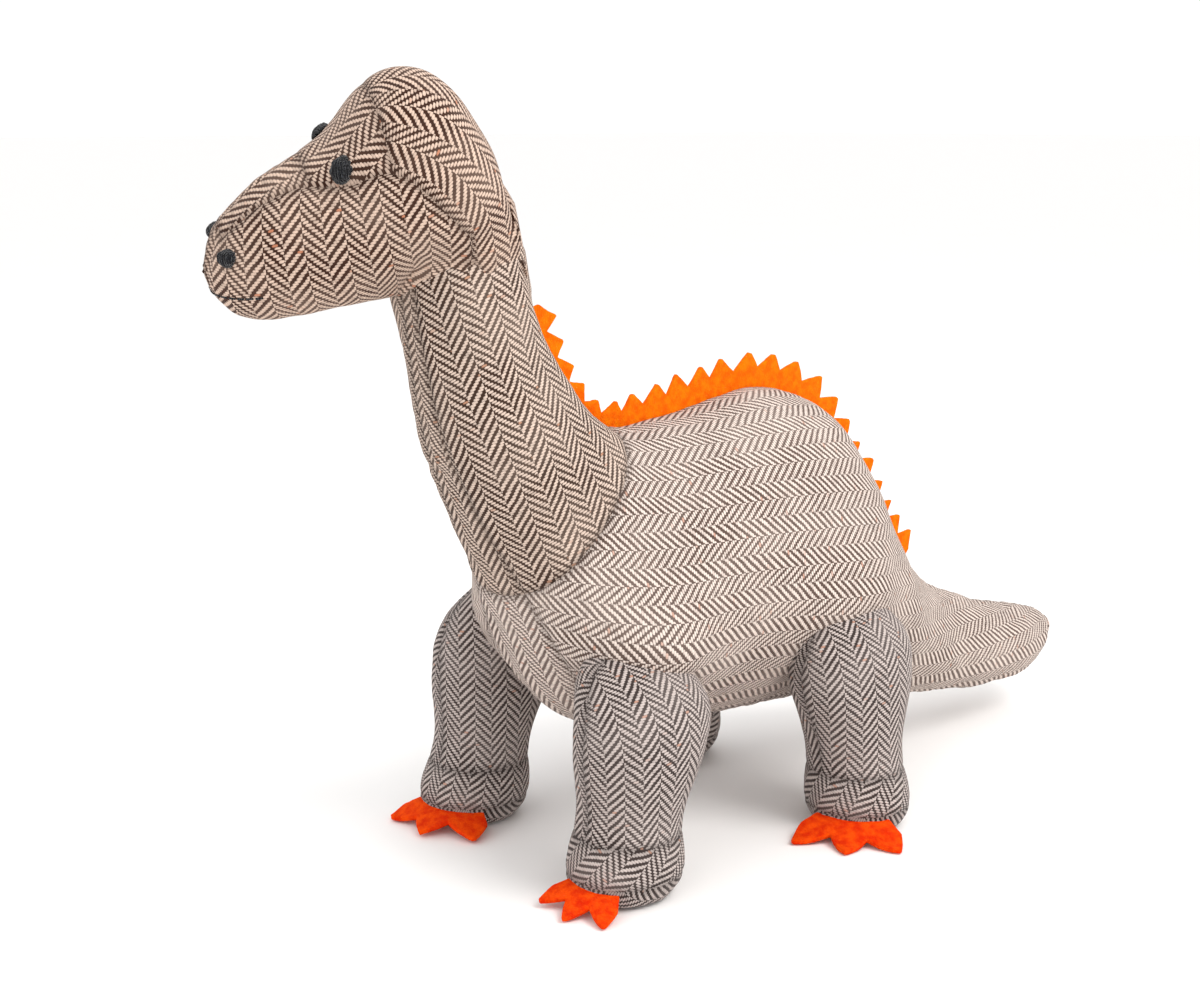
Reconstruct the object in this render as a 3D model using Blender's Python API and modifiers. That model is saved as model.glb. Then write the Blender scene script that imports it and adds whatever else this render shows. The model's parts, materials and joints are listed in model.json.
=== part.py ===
"""Stuffed long-necked dinosaur, sewn from woven cloth panels over stuffing, with felt crest and claws.

Units: the driving dimensions are millimetres, and MM turns them into metres. The toy faces -Y, its left
side is +X, and it stands on the plane z = 0. Lengths along Y are counted from midway between the feet,
and FEET_TO_ORIGIN moves the whole toy so that the origin lies under the middle of its bounding box.
"""
import math

import bmesh
import bpy
from mathutils import Matrix, Vector

MM = 0.001
UP = Vector((0, 0, 1))

# ---------------------------------------------------------------- driving dimensions (mm, degrees)
FEET_TO_ORIGIN = (-5.63, -51.27, 0.0)   # shift of the whole toy
CLOTH = 1.6                           # cover panels, with their seam allowance
GAP = 0.4                             # clearance between pieces that touch
SEAM = 1.0                            # between the outer edges of two panels, whose inner edges come closer
FILL_INSET = 3.8                      # stuffing's surface, inside the toy's outer surface
HEAD_FILL_INSET = 5.4
LEG_FILL_INSET = 3.9
FELT = 2.4                            # crest and claws
TOOTH_HEIGHT = 9.0
BAND_HEIGHT = 6.5                     # felt between the dorsal seam and the teeth
TOOTH_PITCH = 13.0
LOW_SHARE = 0.6                       # height of the crest where neck and back meet, against its full height
LOW_REACH = 55.0                      # distance over which it grows to its full height
BACK_GUSSET_ANGLE = 158.0             # from the dorsal seam round to the belly gusset's edge

# Trunk sections from the nape to the tail tip: dorsal (y, z), ventral (y, z), middle x, half width.
TRUNK = (
    ((-86, 320), (-144, 314), -11, 29.5),
    ((-82, 296), (-141, 290), -10, 30.5),
    ((-78, 264), (-137, 258), -8, 30.5),
    ((-70, 238), (-134, 228), -5, 31.5),
    ((-60, 219), (-130, 200), -1, 34.5),
    ((-45, 204), (-118, 168), 0, 37.5),
    ((-31, 197), (-100, 131), 0, 41.5),
    ((-12, 199), (-83, 90), 0, 49),
    ((20, 205), (-54, 58), 0, 58),
    ((58, 210), (0, 49.5), 0, 62),
    ((94, 201), (56, 46.5), 0, 60),
    ((123, 171), (100, 43), 0, 54),
    ((145, 137), (136, 36), 0, 46),
    ((169, 107), (164, 29), 0, 37),
    ((196, 86), (190, 23), 0, 29),
    ((231, 72), (225, 18), 0, 27),
    ((268, 63), (262, 16), 0, 23),
    ((297, 56), (291, 21), 0, 16),
    ((309, 46), (307, 35), 0, 5.5),
)
NECK_STATIONS = (0.5, 7.2)            # stretch of TRUNK that the neck panels cover, before the joint cut
BODY_STATIONS = (4.2, 14.6)
TAIL_STATIONS = (13.4, 18.0)
NECK_FILL = (0.6, 7.0)                # and its stuffing
BODY_FILL = (4.4, 14.4)
TAIL_FILL = (13.6, 17.9)
NECK_CREST = (2.05, 4.85)             # and the felt crest on it
BACK_CREST = (5.75, 13.2)

# Head sections from the nose to the back, in the head's own axes: forward, top, bottom, half width.
HEAD_PLACE = (-6.5, -113, 294)
THROAT_ROOM = 1.2                     # cloth turned in round the neck's end
STUB_SHOULDER = 0.8                   # station of TRUNK above which the neck's stuffing narrows
STUB_TAPER = 14.0
HEAD_TURN = (26.4, -12.2, 19.6)       # yaw to its right, pitch, roll with its left side down
HEAD = (
    (105.5, 4, -3, 3.2),
    (103, 10, -9.5, 8.5),
    (97.5, 18.5, -17.5, 15),
    (87, 27.5, -24, 20.5),
    (75, 35.5, -24.5, 25),
    (59, 42, -24, 28.5),
    (45, 47, -24, 31.5),
    (33, 58, -26, 34),
    (21, 68.5, -30, 35.5),
    (8, 70, -35, 35.5),
    (-6, 63.5, -37, 34),
    (-16, 46, -35, 30),
    (-23, 24.5, -30, 23),
    (-27, 6.5, -22, 13),
    (-29, -5, -11, 3),
)
CROWN_SEAM = ((105.5, 26), (59, 27), (41, 32), (22, 60), (-9, 112), (-16, 134),
              (-29, 148))      # forward, angle from the top
CHEEK_BACK = -13                     # where the cheeks end, behind the jaw corner
EYE_PLACE = (41, 20.5)               # forward, sideways
EYE_SIZE = (4.6, 5.6, 2.0)            # half width, half height, half thickness
NOSTRIL_PLACE = (96.5, 13.5)
NOSTRIL_SIZE = (3.6, 3.6, 1.6)
MOUTH_HEIGHT = -4.0
MOUTH_BACK = 76
WOOL_RADIUS = 0.7
WOOL_STAND_OFF = 1.0
PAD_STAND_OFF = 0.9                   # room under a wool pad for the curve of the cloth
MOUTH_POINTS = (85, 93, 99, 103)      # forward distances of the mouth's points, in front of MOUTH_BACK
NOSE_CENTRE = 70                      # forward distance that the mouth line is pushed out from

# Legs: hip axis height and radius, then sections: height, half length (y), half width (x), middle |x|.
HIP_HEIGHT = 77.0
HIP_RADIUS = 36.0
HIP_DEPTH = 32.0                      # |x| of the hip pocket's floor
LEG = (
    (110.5, 6, 5, 64),
    (109, 12, 8.5, 64),
    (103.5, 21.5, 14, 63),
    (93, 29, 21, 62),
    (77, 31, 25.5, 60.5),
    (56, 26.5, 24.5, 60),
    (42, 24, 23.5, 60),
    (29, 24.5, 24, 60),
    (20, 27.5, 27, 60),
    (10.5, 28.3, 28, 60),
    (5, 26.3, 26, 60),
    (1.4, 22.5, 22.5, 60),
    (0, 18.5, 18.5, 60),
)
ANKLE_STATION = 7
SOLE_STATION = 9
# name: side, hip y, foot y, foot shift in x, way its claws face (degrees from straight ahead to its left)
LEGS = {
    "front_left": (1, -60.5, -69.5, 0, 0),
    "front_right": (-1, -52, -68, 0, 17),
    "hind_left": (1, 70, 69, 8, 36),
    "hind_right": (-1, 70, 66, 4, -20),
}
CLAW_REACH = 18.5                     # from the sole seam to the points
CLAW_NOTCH = 9.5                      # from the sole seam to the notches
CLAW_HALF_ANGLE = 41.0                # of the foot's front that the strip covers
CLAW_DROOP = 0.467                    # how far the strip falls for each unit outwards
CLAW_RUN = 0.9                        # unit outwards for each unit of its length
CLAW_LIFT = 0.6                       # its root, above the sole seam

# Joints: centre (y, z) or (x, y), and radius of the round seat.
NECK_JOINT = (-88, 197)
NECK_JOINT_RADIUS = 50.0
HEAD_JOINT = (-112, 312)
HEAD_JOINT_RADIUS = 38.0
HEAD_SWING = 10.0
CUTTER_LOW, CUTTER_HIGH = -150, 400   # ends of the joints' cutters, clear of the toy
TAIL_JOINT = (0, 230)
TAIL_JOINT_RADIUS = 33.0

COLOURS = {
    "tweed": ((0.36, 0.28, 0.25, 1), 0.9),
    "stuffing": ((0.85, 0.84, 0.80, 1), 0.95),
    "crest_felt": ((0.95, 0.25, 0.01, 1), 0.9),
    "claw_felt": ((0.95, 0.14, 0.01, 1), 0.9),
    "black_wool": ((0.02, 0.02, 0.025, 1), 0.9),
}


# ---------------------------------------------------------------- scene
def start_scene():
    """Empty the scene and make the two collections, the materials and the empties that carry the parts."""
    for old in list(bpy.data.objects):
        bpy.data.objects.remove(old)
    scene = bpy.context.scene
    parts = bpy.data.collections.new("stuffed_dinosaur")
    cutters = bpy.data.collections.new("cutters")
    scene.collection.children.link(parts)
    scene.collection.children.link(cutters)
    materials = {}
    for name, (colour, roughness) in COLOURS.items():
        material = bpy.data.materials.new(name)
        material.use_nodes = True
        shader = material.node_tree.nodes["Principled BSDF"]
        shader.inputs["Base Color"].default_value = colour
        shader.inputs["Roughness"].default_value = roughness
        shader.inputs["Metallic"].default_value = 0.0
        materials[name] = material
    return parts, cutters, materials


PARTS, CUTTERS, MATERIALS = start_scene()


def add_empty(name, place, parent=None):
    """An empty at a place in the toy's own millimetres."""
    empty = bpy.data.objects.new(name, None)
    PARTS.objects.link(empty)
    empty.parent = parent
    base = Vector(parent["place"]) if parent else Vector((0, 0, 0))
    empty.location = (Vector(place) - base) * MM
    empty["place"] = tuple(place)
    return empty


TOY = add_empty("toy", (0, 0, 0))
TOY.location = Vector(FEET_TO_ORIGIN) * MM


def add_object(name, vertices, faces, material, carrier):
    """A mesh object whose origin is its carrier's place; vertices are in the toy's millimetres."""
    mesh = bpy.data.meshes.new(name)
    base = Vector(carrier["place"])
    mesh.from_pydata([(Vector(v) - base) * MM for v in vertices], [], faces)
    mesh.validate()
    item = bpy.data.objects.new(name, mesh)
    item.parent = carrier
    item["place"] = carrier["place"]
    if material:
        mesh.materials.append(MATERIALS[material])
        PARTS.objects.link(item)
    else:
        CUTTERS.objects.link(item)
        item.hide_render = True
        item.display_type = "WIRE"
    return item


# ---------------------------------------------------------------- curves and grids
def smooth(rows, position):
    """Catmull-Rom value of a list of number rows at a fractional position."""
    last = len(rows) - 1
    index = min(max(int(math.floor(position)), 0), last - 1)
    part = position - index
    before = rows[max(index - 1, 0)]
    here = rows[index]
    there = rows[index + 1]
    after = rows[min(index + 2, last)]
    result = []
    for p0, p1, p2, p3 in zip(before, here, there, after):
        slope = (p2 - p0) * part
        bend = (2 * p0 - 5 * p1 + 4 * p2 - p3) * part ** 2
        twist = (3 * p1 - p0 - 3 * p2 + p3) * part ** 3
        result.append(p1 + 0.5 * (slope + bend + twist))
    return result


def straight(pairs, value):
    """Linear interpolation in (key, value) pairs whose keys fall."""
    for (key_a, out_a), (key_b, out_b) in zip(pairs, pairs[1:]):
        if value >= key_b:
            return out_a + (out_b - out_a) * (value - key_a) / (key_b - key_a)
    return pairs[-1][1]


def spread(start, end, count):
    """Evenly spaced values, both ends included."""
    return [start + (end - start) * k / (count - 1) for k in range(count)]


def grid_faces(rows, columns, closed):
    """Quads of a grid; a closed one joins its last column to its first."""
    faces = []
    for i in range(rows - 1):
        for j in range(columns if closed else columns - 1):
            k = (j + 1) % columns
            faces.append((i * columns + j, i * columns + k, (i + 1) * columns + k, (i + 1) * columns + j))
    return faces


def solidify(item, thickness, offset=-1.0):
    """Give an open surface its thickness."""
    modifier = item.modifiers.new("thickness", "SOLIDIFY")
    modifier.thickness = thickness * MM
    modifier.offset = offset
    return item


def panel(name, surface, positions, angles, material, carrier, closed=False):
    """Cloth panel: an open patch of a surface(position, angle), given the cloth's thickness inwards."""
    columns = len(angles(positions[0]))
    vertices = [surface(p, a) for p in positions for a in angles(p)]
    item = add_object(name, vertices, grid_faces(len(positions), columns, closed), material, carrier)
    return solidify(item, CLOTH)


def loft(name, surface, positions, sides, material, carrier):
    """Closed solid from whole rings of a surface, with flat end faces."""
    angles = [2 * math.pi * k / sides for k in range(sides)]
    vertices = [surface(p, a) for p in positions for a in angles]
    faces = grid_faces(len(positions), sides, True)
    faces.append(tuple(reversed(range(sides))))
    last = (len(positions) - 1) * sides
    faces.append(tuple(range(last, last + sides)))
    return add_object(name, vertices, faces, material, carrier)


def seam_angles(start, end, count, size, seam=SEAM):
    """Angles of a panel between two seams, each left open by half a seam at radius size."""
    def angles(position):
        slack = 0.5 * seam / size(position)
        return spread(start(position) + slack, end(position) - slack, count)
    return angles


# ---------------------------------------------------------------- cutters
def prism(name, outline, low, high, axis):
    """Closed prism: an outline in the two other axes, extruded along X or Z between low and high."""
    mesh = bpy.data.meshes.new(name)
    shape = bmesh.new()
    if axis == "X":
        corners = [Vector((low, u, v)) for u, v in outline]
        step = Vector((high - low, 0, 0))
    else:
        corners = [Vector((u, v, low)) for u, v in outline]
        step = Vector((0, 0, high - low))
    base = Vector(TOY["place"])
    face = shape.faces.new([shape.verts.new((c - base) * MM) for c in corners])
    swept = bmesh.ops.extrude_face_region(shape, geom=[face])
    moved = [v for v in swept["geom"] if isinstance(v, bmesh.types.BMVert)]
    bmesh.ops.translate(shape, verts=moved, vec=step * MM)
    bmesh.ops.recalc_face_normals(shape, faces=shape.faces[:])
    shape.to_mesh(mesh)
    shape.free()
    item = bpy.data.objects.new(name, mesh)
    item.parent = TOY
    item.hide_render = True
    item.display_type = "WIRE"
    CUTTERS.objects.link(item)
    return item


def bullet(name, centre, direction, radius, length, axis):
    """Prism with one round end: a seat of the given radius about centre, running on along direction."""
    along = Vector(direction).normalized()
    across = Vector((-along.y, along.x))
    middle = Vector(centre)
    outline = []
    for angle in spread(-90, 90, 19):
        turn = math.radians(angle)
        outline.append(middle - along * radius * math.cos(turn) + across * radius * math.sin(turn))
    outline.append(middle + across * radius + along * length)
    outline.append(middle - across * radius + along * length)
    return prism(name, [tuple(p) for p in outline], CUTTER_LOW, CUTTER_HIGH, axis)


def boolean(item, cutter, operation, solver="EXACT"):
    """Boolean modifier, with the exact solver unless another is asked for."""
    modifier = item.modifiers.new(operation.lower(), "BOOLEAN")
    modifier.operation = operation
    modifier.object = cutter
    modifier.solver = solver
    return item


def cut(item, *cutters):
    """Remove each cutter from an item."""
    for cutter in cutters:
        boolean(item, cutter, "DIFFERENCE")
    return item


def keep(item, cutter):
    """Keep what lies inside a cutter."""
    return boolean(item, cutter, "INTERSECT")


# ---------------------------------------------------------------- surfaces
def trunk_surface(inset=0.0):
    """Point of the trunk at a station and an angle from the dorsal line, round by the left side."""
    rows = [(d[0], d[1], v[0], v[1], x, w) for d, v, x, w in TRUNK]

    def point(position, angle):
        dy, dz, vy, vz, x, width = smooth(rows, position)
        spine = Vector(((dy - vy) / 2, (dz - vz) / 2))
        reach = spine.length
        scale = (reach - min(inset, 0.7 * reach)) / reach
        up = spine * scale * math.cos(angle)
        side = (width - min(inset, 0.7 * width)) * math.sin(angle)
        return Vector((x + side, (dy + vy) / 2 + up.x, (dz + vz) / 2 + up.y))
    return point


def trunk_size(position):
    """Smaller half size of the trunk's section."""
    return max(4.0, smooth([(w,) for d, v, x, w in TRUNK], position)[0])


def head_axes():
    """Rotation from the head's forward, left and up axes to the toy's axes."""
    yaw, pitch, roll = (math.radians(a) for a in HEAD_TURN)
    level = Matrix(((0, 1, 0), (-1, 0, 0), (0, 0, 1)))
    turned = Matrix.Rotation(-yaw, 3, "Z") @ level
    return turned @ Matrix.Rotation(-pitch, 3, "Y") @ Matrix.Rotation(-roll, 3, "X")


HEAD_MATRIX = head_axes()


def head_point(forward, left, up):
    """The head's own coordinates in the toy's millimetres."""
    return Vector(HEAD_PLACE) + HEAD_MATRIX @ Vector((forward, left, up))


def head_row(position):
    """Forward, middle height, half height and half width of the head at a station."""
    forward, top, bottom, width = smooth(HEAD, position)
    return forward, (top + bottom) / 2, (top - bottom) / 2, width


def head_surface(inset=0.0):
    """Point of the head at a station and an angle from its top, round by its left side."""
    def point(position, angle):
        forward, middle, tall, width = head_row(position)
        half_length = (HEAD[0][0] - HEAD[-1][0]) / 2
        centre = (HEAD[0][0] + HEAD[-1][0]) / 2
        forward = centre + (forward - centre) * (1 - inset / half_length)
        tall -= min(inset, 0.7 * tall)
        width -= min(inset, 0.7 * width)
        return head_point(forward, width * math.sin(angle), middle + tall * math.cos(angle))
    return point


def head_station(forward):
    """Station of the head whose forward distance is the one given."""
    low, high = 0.0, len(HEAD) - 1.0
    for _ in range(40):
        middle = (low + high) / 2
        if head_row(middle)[0] > forward:
            low = middle
        else:
            high = middle
    return low


def leg_surface(leg, inset=0.0):
    """Point of a leg at a station and an angle from its back, round by +X."""
    side, hip_y, foot_y, foot_x, _ = LEGS[leg]

    def point(position, angle):
        height, long, wide, middle = smooth(LEG, position)
        long -= min(inset, 0.7 * long)
        wide -= min(inset, 0.7 * wide)
        height = max(height - inset * max(height - HIP_HEIGHT, 0) / (LEG[0][0] - HIP_HEIGHT), 0.75 * inset)
        drop = min(max((HIP_HEIGHT - height) / HIP_HEIGHT, 0.0), 1.0)
        x = side * (middle + foot_x * drop) + wide * math.sin(angle)
        y = hip_y + (foot_y - hip_y) * drop + long * math.cos(angle)
        return Vector((x, y, height))
    return point


# ---------------------------------------------------------------- trunk: body, neck, tail
def make_trunk(neck, tail):
    """Side panels, belly gusset and stuffing of the body, the neck and the tail."""
    skin = trunk_surface()
    fill = trunk_surface(FILL_INSET)
    neck_way = (Vector((TRUNK[2][0][0] + TRUNK[2][1][0], TRUNK[2][0][1] + TRUNK[2][1][1])) / 2
                - Vector((TRUNK[5][0][0] + TRUNK[5][1][0], TRUNK[5][0][1] + TRUNK[5][1][1])) / 2)
    neck_seat = bullet("neck_seat", NECK_JOINT, neck_way, NECK_JOINT_RADIUS + GAP, 130, "X")
    neck_end = bullet("neck_end", NECK_JOINT, neck_way, NECK_JOINT_RADIUS, 130, "X")
    head_seat = bullet("head_seat", HEAD_JOINT, (0, 1), HEAD_JOINT_RADIUS + GAP, 60, "X")
    tail_seat = bullet("tail_seat", TAIL_JOINT, (0, 1), TAIL_JOINT_RADIUS + GAP, 120, "Z")
    tail_end = bullet("tail_end", TAIL_JOINT, (0, 1), TAIL_JOINT_RADIUS, 120, "Z")
    hips = []
    for leg, (side, hip_y, _, _, _) in LEGS.items():
        circle = [(hip_y + (HIP_RADIUS + GAP) * math.cos(a), HIP_HEIGHT + (HIP_RADIUS + GAP) * math.sin(a))
                  for a in spread(0, 2 * math.pi, 33)[:-1]]
        low, high = sorted((side * HIP_DEPTH, side * 130))
        hips.append(prism("hip_seat_" + leg, circle, low, high, "X"))

    gusset = math.radians(BACK_GUSSET_ANGLE)
    full = 2 * math.pi
    body_at = spread(*BODY_STATIONS, 23)
    for side, start, end in (("left", 0, gusset), ("right", full - gusset, full)):
        angles = seam_angles(lambda p, a=start: a, lambda p, a=end: a, 9, trunk_size)
        item = panel("body_side_" + side, skin, body_at, angles, "tweed", TOY)
        near = [hip for hip, leg in zip(hips, LEGS) if leg.endswith(side)]
        cut(item, neck_seat, tail_seat, *near)
    angles = seam_angles(lambda p: gusset, lambda p: full - gusset, 5, trunk_size)
    cut(panel("belly_gusset", skin, body_at, angles, "tweed", TOY), neck_seat, tail_seat)
    item = loft("body_stuffing", fill, spread(*BODY_FILL, 22), 20, "stuffing", TOY)
    cut(item, neck_seat, tail_seat, *hips)

    neck_at = spread(*NECK_STATIONS, 12)
    tail_at = spread(*TAIL_STATIONS, 10)
    for side, start, end in (("left", 0, math.pi), ("right", math.pi, full)):
        angles = seam_angles(lambda p, a=start: a, lambda p, a=end: a, 10, trunk_size)
        item = panel("neck_side_" + side, skin, neck_at, angles, "tweed", neck)
        keep(cut(item, head_seat), neck_end)
        item = panel("tail_side_" + side, skin, tail_at, angles, "tweed", tail)
        keep(item, tail_end)
    item = loft("neck_stuffing", fill, spread(*NECK_FILL, 11), 18, "stuffing", neck)
    keep(cut(item, head_seat), neck_end)
    keep(loft("tail_stuffing", fill, spread(*TAIL_FILL, 8), 16, "stuffing", tail), tail_end)


# ---------------------------------------------------------------- head
def make_head(head):
    """Cheeks, crown, stuffing, and the wool eyes, nostrils and mouth."""
    skin = head_surface()
    fill = head_surface(HEAD_FILL_INSET)
    size = lambda p: max(4.0, head_row(p)[3])
    crown = lambda p: math.radians(straight(CROWN_SEAM, head_row(p)[0]))
    full = 2 * math.pi
    at = spread(0, len(HEAD) - 1, 17)
    cheek_at = spread(0, head_station(CHEEK_BACK), 14)
    column = neck_column()
    head_end = bullet("head_end", HEAD_JOINT, (0, 1), HEAD_JOINT_RADIUS, 30, "X")
    covers = (
        panel("crown_gusset", skin, at, seam_angles(lambda p: -crown(p), crown, 9, size, 2 * SEAM), "tweed",
              head),
        panel("cheek_left", skin, cheek_at, seam_angles(crown, lambda p: math.pi, 8, size), "tweed", head),
        panel("cheek_right", skin, cheek_at,
              seam_angles(lambda p: math.pi, lambda p: full - crown(p), 8, size), "tweed", head),
    )
    for cover in covers:
        cut(cover, column)

    def plug(position, angle):
        taper = STUB_TAPER * max(0.0, STUB_SHOULDER - position) / STUB_SHOULDER
        return trunk_surface(FILL_INSET + taper)(position, angle)

    stub = loft("neck_stub", plug, (0.0, 0.4, STUB_SHOULDER, 1.2, 1.6, 2.0, 2.4), 18, None, TOY)
    keep(stub, head_end)
    filling = loft("head_stuffing", fill, at[1:-1], 18, "stuffing", head)
    cut(filling, column)
    boolean(filling, stub, "UNION", "MANIFOLD")

    for side, sign in (("left", 1), ("right", -1)):
        make_pad("eye_" + side, EYE_PLACE, sign, EYE_SIZE, head)
        make_pad("nostril_" + side, NOSTRIL_PLACE, sign, NOSTRIL_SIZE, head)
    make_mouth(head)


def neck_column():
    """Cutter for the neck's top, wide enough below the seat for the head to nod either way."""
    flare = math.tan(math.radians(HEAD_SWING))
    positions = (0.5, 1.0, 1.5, 2.0, 2.5, 3.0, 3.5)

    def surface(position, angle):
        height = trunk_surface()(position, 0).z
        room = GAP + THROAT_ROOM + flare * max(0.0, HEAD_JOINT[1] - height)
        return trunk_surface(-room)(position, angle)
    return loft("neck_column", surface, positions, 18, None, TOY)


def make_pad(name, place, sign, size, head):
    """Raised pad of wool stitches on the head: a flattened ball that lies on the cloth."""
    forward, sideways = place
    station = head_station(forward)
    _, _, _, width = head_row(station)
    angle = math.asin(sideways / width) * sign
    skin = head_surface()
    spot = skin(station, angle)
    along = skin(station - 0.1, angle) - skin(station + 0.1, angle)
    around = skin(station, angle + 0.1) - skin(station, angle - 0.1)
    normal = around.cross(-along).normalized()
    across = along.normalized()
    turn = Matrix((across, normal.cross(across), normal)).transposed()
    shape = bmesh.new()
    bmesh.ops.create_uvsphere(shape, u_segments=10, v_segments=6, radius=1.0)
    middle = spot + normal * (size[2] + PAD_STAND_OFF)
    stretch = Matrix.Diagonal((size[0], size[1], size[2]))
    points = [middle + turn @ (stretch @ v.co) for v in shape.verts]
    faces = [[v.index for v in face.verts] for face in shape.faces]
    shape.free()
    return add_object(name, points, faces, "black_wool", head)


def make_mouth(head):
    """One run of wool round the muzzle, level in the head's own axes."""
    half = []
    for forward in (MOUTH_BACK, *MOUTH_POINTS):
        _, middle, tall, width = head_row(head_station(forward))
        side = width * math.sqrt(1 - ((MOUTH_HEIGHT - middle) / tall) ** 2)
        half.append((forward, side))
    outline = half + [(HEAD[0][0], 0)] + [(f, -s) for f, s in reversed(half)]
    stand_off = WOOL_RADIUS + WOOL_STAND_OFF
    points = []
    for forward, side in outline:
        out = Vector((forward - NOSE_CENTRE, 1.3 * side)).normalized() * stand_off
        points.append(head_point(forward + out.x, side + out.y, MOUTH_HEIGHT))
    base = Vector(head["place"])
    curve = bpy.data.curves.new("mouth_stitch", "CURVE")
    curve.dimensions = "3D"
    curve.bevel_depth = WOOL_RADIUS * MM
    curve.bevel_resolution = 1
    curve.use_fill_caps = True
    spline = curve.splines.new("POLY")
    spline.points.add(len(points) - 1)
    for point, place in zip(spline.points, points):
        point.co = (*((place - base) * MM), 1)
    item = bpy.data.objects.new("mouth_stitch", curve)
    item.parent = head
    curve.materials.append(MATERIALS["black_wool"])
    PARTS.objects.link(item)


# ---------------------------------------------------------------- felt crest
def make_crest(name, start, end, low_end, carrier):
    """Toothed felt strip that stands on the dorsal seam between two stations of the trunk.

    It is lower near the station low_end, where the neck meets the back.
    """
    skin = trunk_surface()
    fine = spread(start, end, 200)
    places = [skin(p, 0) for p in fine]
    lengths = [0.0]
    for a, b in zip(places, places[1:]):
        lengths.append(lengths[-1] + (b - a).length)
    teeth = max(1, round(lengths[-1] / TOOTH_PITCH))
    lower, upper = [], []
    for step in range(2 * teeth + 1):
        target = lengths[-1] * step / (2 * teeth)
        index = min(range(len(fine)), key=lambda k: abs(lengths[k] - target))
        station = fine[index]
        root = skin(station, 0)
        tangent = skin(min(station + 0.05, end), 0) - skin(max(station - 0.05, start), 0)
        tangent.x = 0
        up = Vector((0, -tangent.z, tangent.y)).normalized()
        from_low = lengths[-1] * abs(station - low_end) / (end - start)
        share = min(1.0, LOW_SHARE + (1 - LOW_SHARE) * from_low / LOW_REACH)
        height = share * (BAND_HEIGHT + (TOOTH_HEIGHT if step % 2 else 0))
        lower.append(root + up * GAP)
        upper.append(root + up * height)
    columns = len(lower)
    item = add_object(name, lower + upper, grid_faces(2, columns, False), "crest_felt", carrier)
    return solidify(item, FELT, 0.0)


# ---------------------------------------------------------------- legs
def make_leg(leg, carrier):
    """One leg: two tube panels, foot band, sole, claws and stuffing."""
    side, _, _, _, facing = LEGS[leg]
    skin = leg_surface(leg)
    fill = leg_surface(leg, LEG_FILL_INSET)
    size = lambda p: max(4.0, smooth(LEG, p)[2])
    slack = 0.5 * SEAM / (LEG[ANKLE_STATION][0] - LEG[ANKLE_STATION + 1][0])
    tube_at = spread(0, ANKLE_STATION - slack, 9)
    right_half = seam_angles(lambda p: 0, lambda p: math.pi, 8, size, 1.5 * SEAM)
    left_half = seam_angles(lambda p: math.pi, lambda p: 2 * math.pi, 8, size, 1.5 * SEAM)
    outer, inner = (right_half, left_half) if side > 0 else (left_half, right_half)
    panel("leg_outer_" + leg, skin, tube_at, outer, "tweed", carrier)
    panel("leg_inner_" + leg, skin, tube_at, inner, "tweed", carrier)
    ring = [2 * math.pi * k / 16 for k in range(16)]
    band_at = spread(ANKLE_STATION + slack, SOLE_STATION - slack, 4)
    panel("foot_cover_" + leg, skin, band_at, lambda p: ring, "tweed", carrier, closed=True)
    make_sole("sole_" + leg, skin, SOLE_STATION + 1.2 * slack, ring, carrier)
    fill_at = [0.5] + list(range(1, len(LEG) - 1))
    loft("stuffing_" + leg, fill, fill_at, 14, "stuffing", carrier)
    make_claws("claws_" + leg, skin, facing, carrier)


def make_sole(name, skin, start, ring, carrier):
    """Sole: a shallow dish of cloth with a flat bottom."""
    positions = spread(start, len(LEG) - 1, 5)
    vertices = [skin(p, a) for p in positions for a in ring]
    faces = grid_faces(len(positions), len(ring), True)
    last = (len(positions) - 1) * len(ring)
    faces.append(tuple(range(last, last + len(ring))))
    item = add_object(name, vertices, faces, "tweed", carrier)
    return solidify(item, CLOTH)


def make_claws(name, skin, facing, carrier):
    """Three-pointed felt strip that leaves the sole seam at the front of the foot."""
    inner, outer = [], []
    columns = 13
    for index, degrees in enumerate(spread(-CLAW_HALF_ANGLE, CLAW_HALF_ANGLE, columns)):
        angle = math.pi - math.radians(facing + degrees)
        root = skin(SOLE_STATION, angle)
        middle = (skin(SOLE_STATION, angle) + skin(SOLE_STATION, angle + math.pi)) / 2
        out = (root - middle).normalized()
        phase = abs((index % 4) - 2) / 2
        reach = CLAW_REACH + (CLAW_NOTCH - CLAW_REACH) * phase
        start = root + out * (0.5 * FELT + GAP) + UP * CLAW_LIFT
        inner.append(start)
        outer.append(start + (out - UP * CLAW_DROOP) * reach * CLAW_RUN)
    item = add_object(name, inner + outer, grid_faces(2, columns, False), "claw_felt", carrier)
    return solidify(item, FELT, 0.0)


# ---------------------------------------------------------------- assembly
def main():
    """Make every piece on its carrier."""
    neck = add_empty("neck", (0, *NECK_JOINT), TOY)
    head = add_empty("head", (0, *HEAD_JOINT), neck)
    tail = add_empty("tail", (*TAIL_JOINT, 45), TOY)
    make_trunk(neck, tail)
    make_head(head)
    make_crest("neck_crest", *NECK_CREST, NECK_CREST[1], neck)
    make_crest("back_crest", *BACK_CREST, BACK_CREST[0], TOY)
    for leg, (side, hip_y, _, _, _) in LEGS.items():
        make_leg(leg, add_empty("leg_" + leg, (side * 60, hip_y, HIP_HEIGHT), TOY))


main()
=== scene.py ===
"""Looks of the stuffed dinosaur: herringbone cloth skins over filling, a felt crest and claws, and wool eyes.

Every skin is measured off the CAD covers: rays from a line through the filling find the covers' surface,
and the fine skin is laid through those points with its edges along the covers' seams. Lengths are metres.
"""

import math

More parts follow.
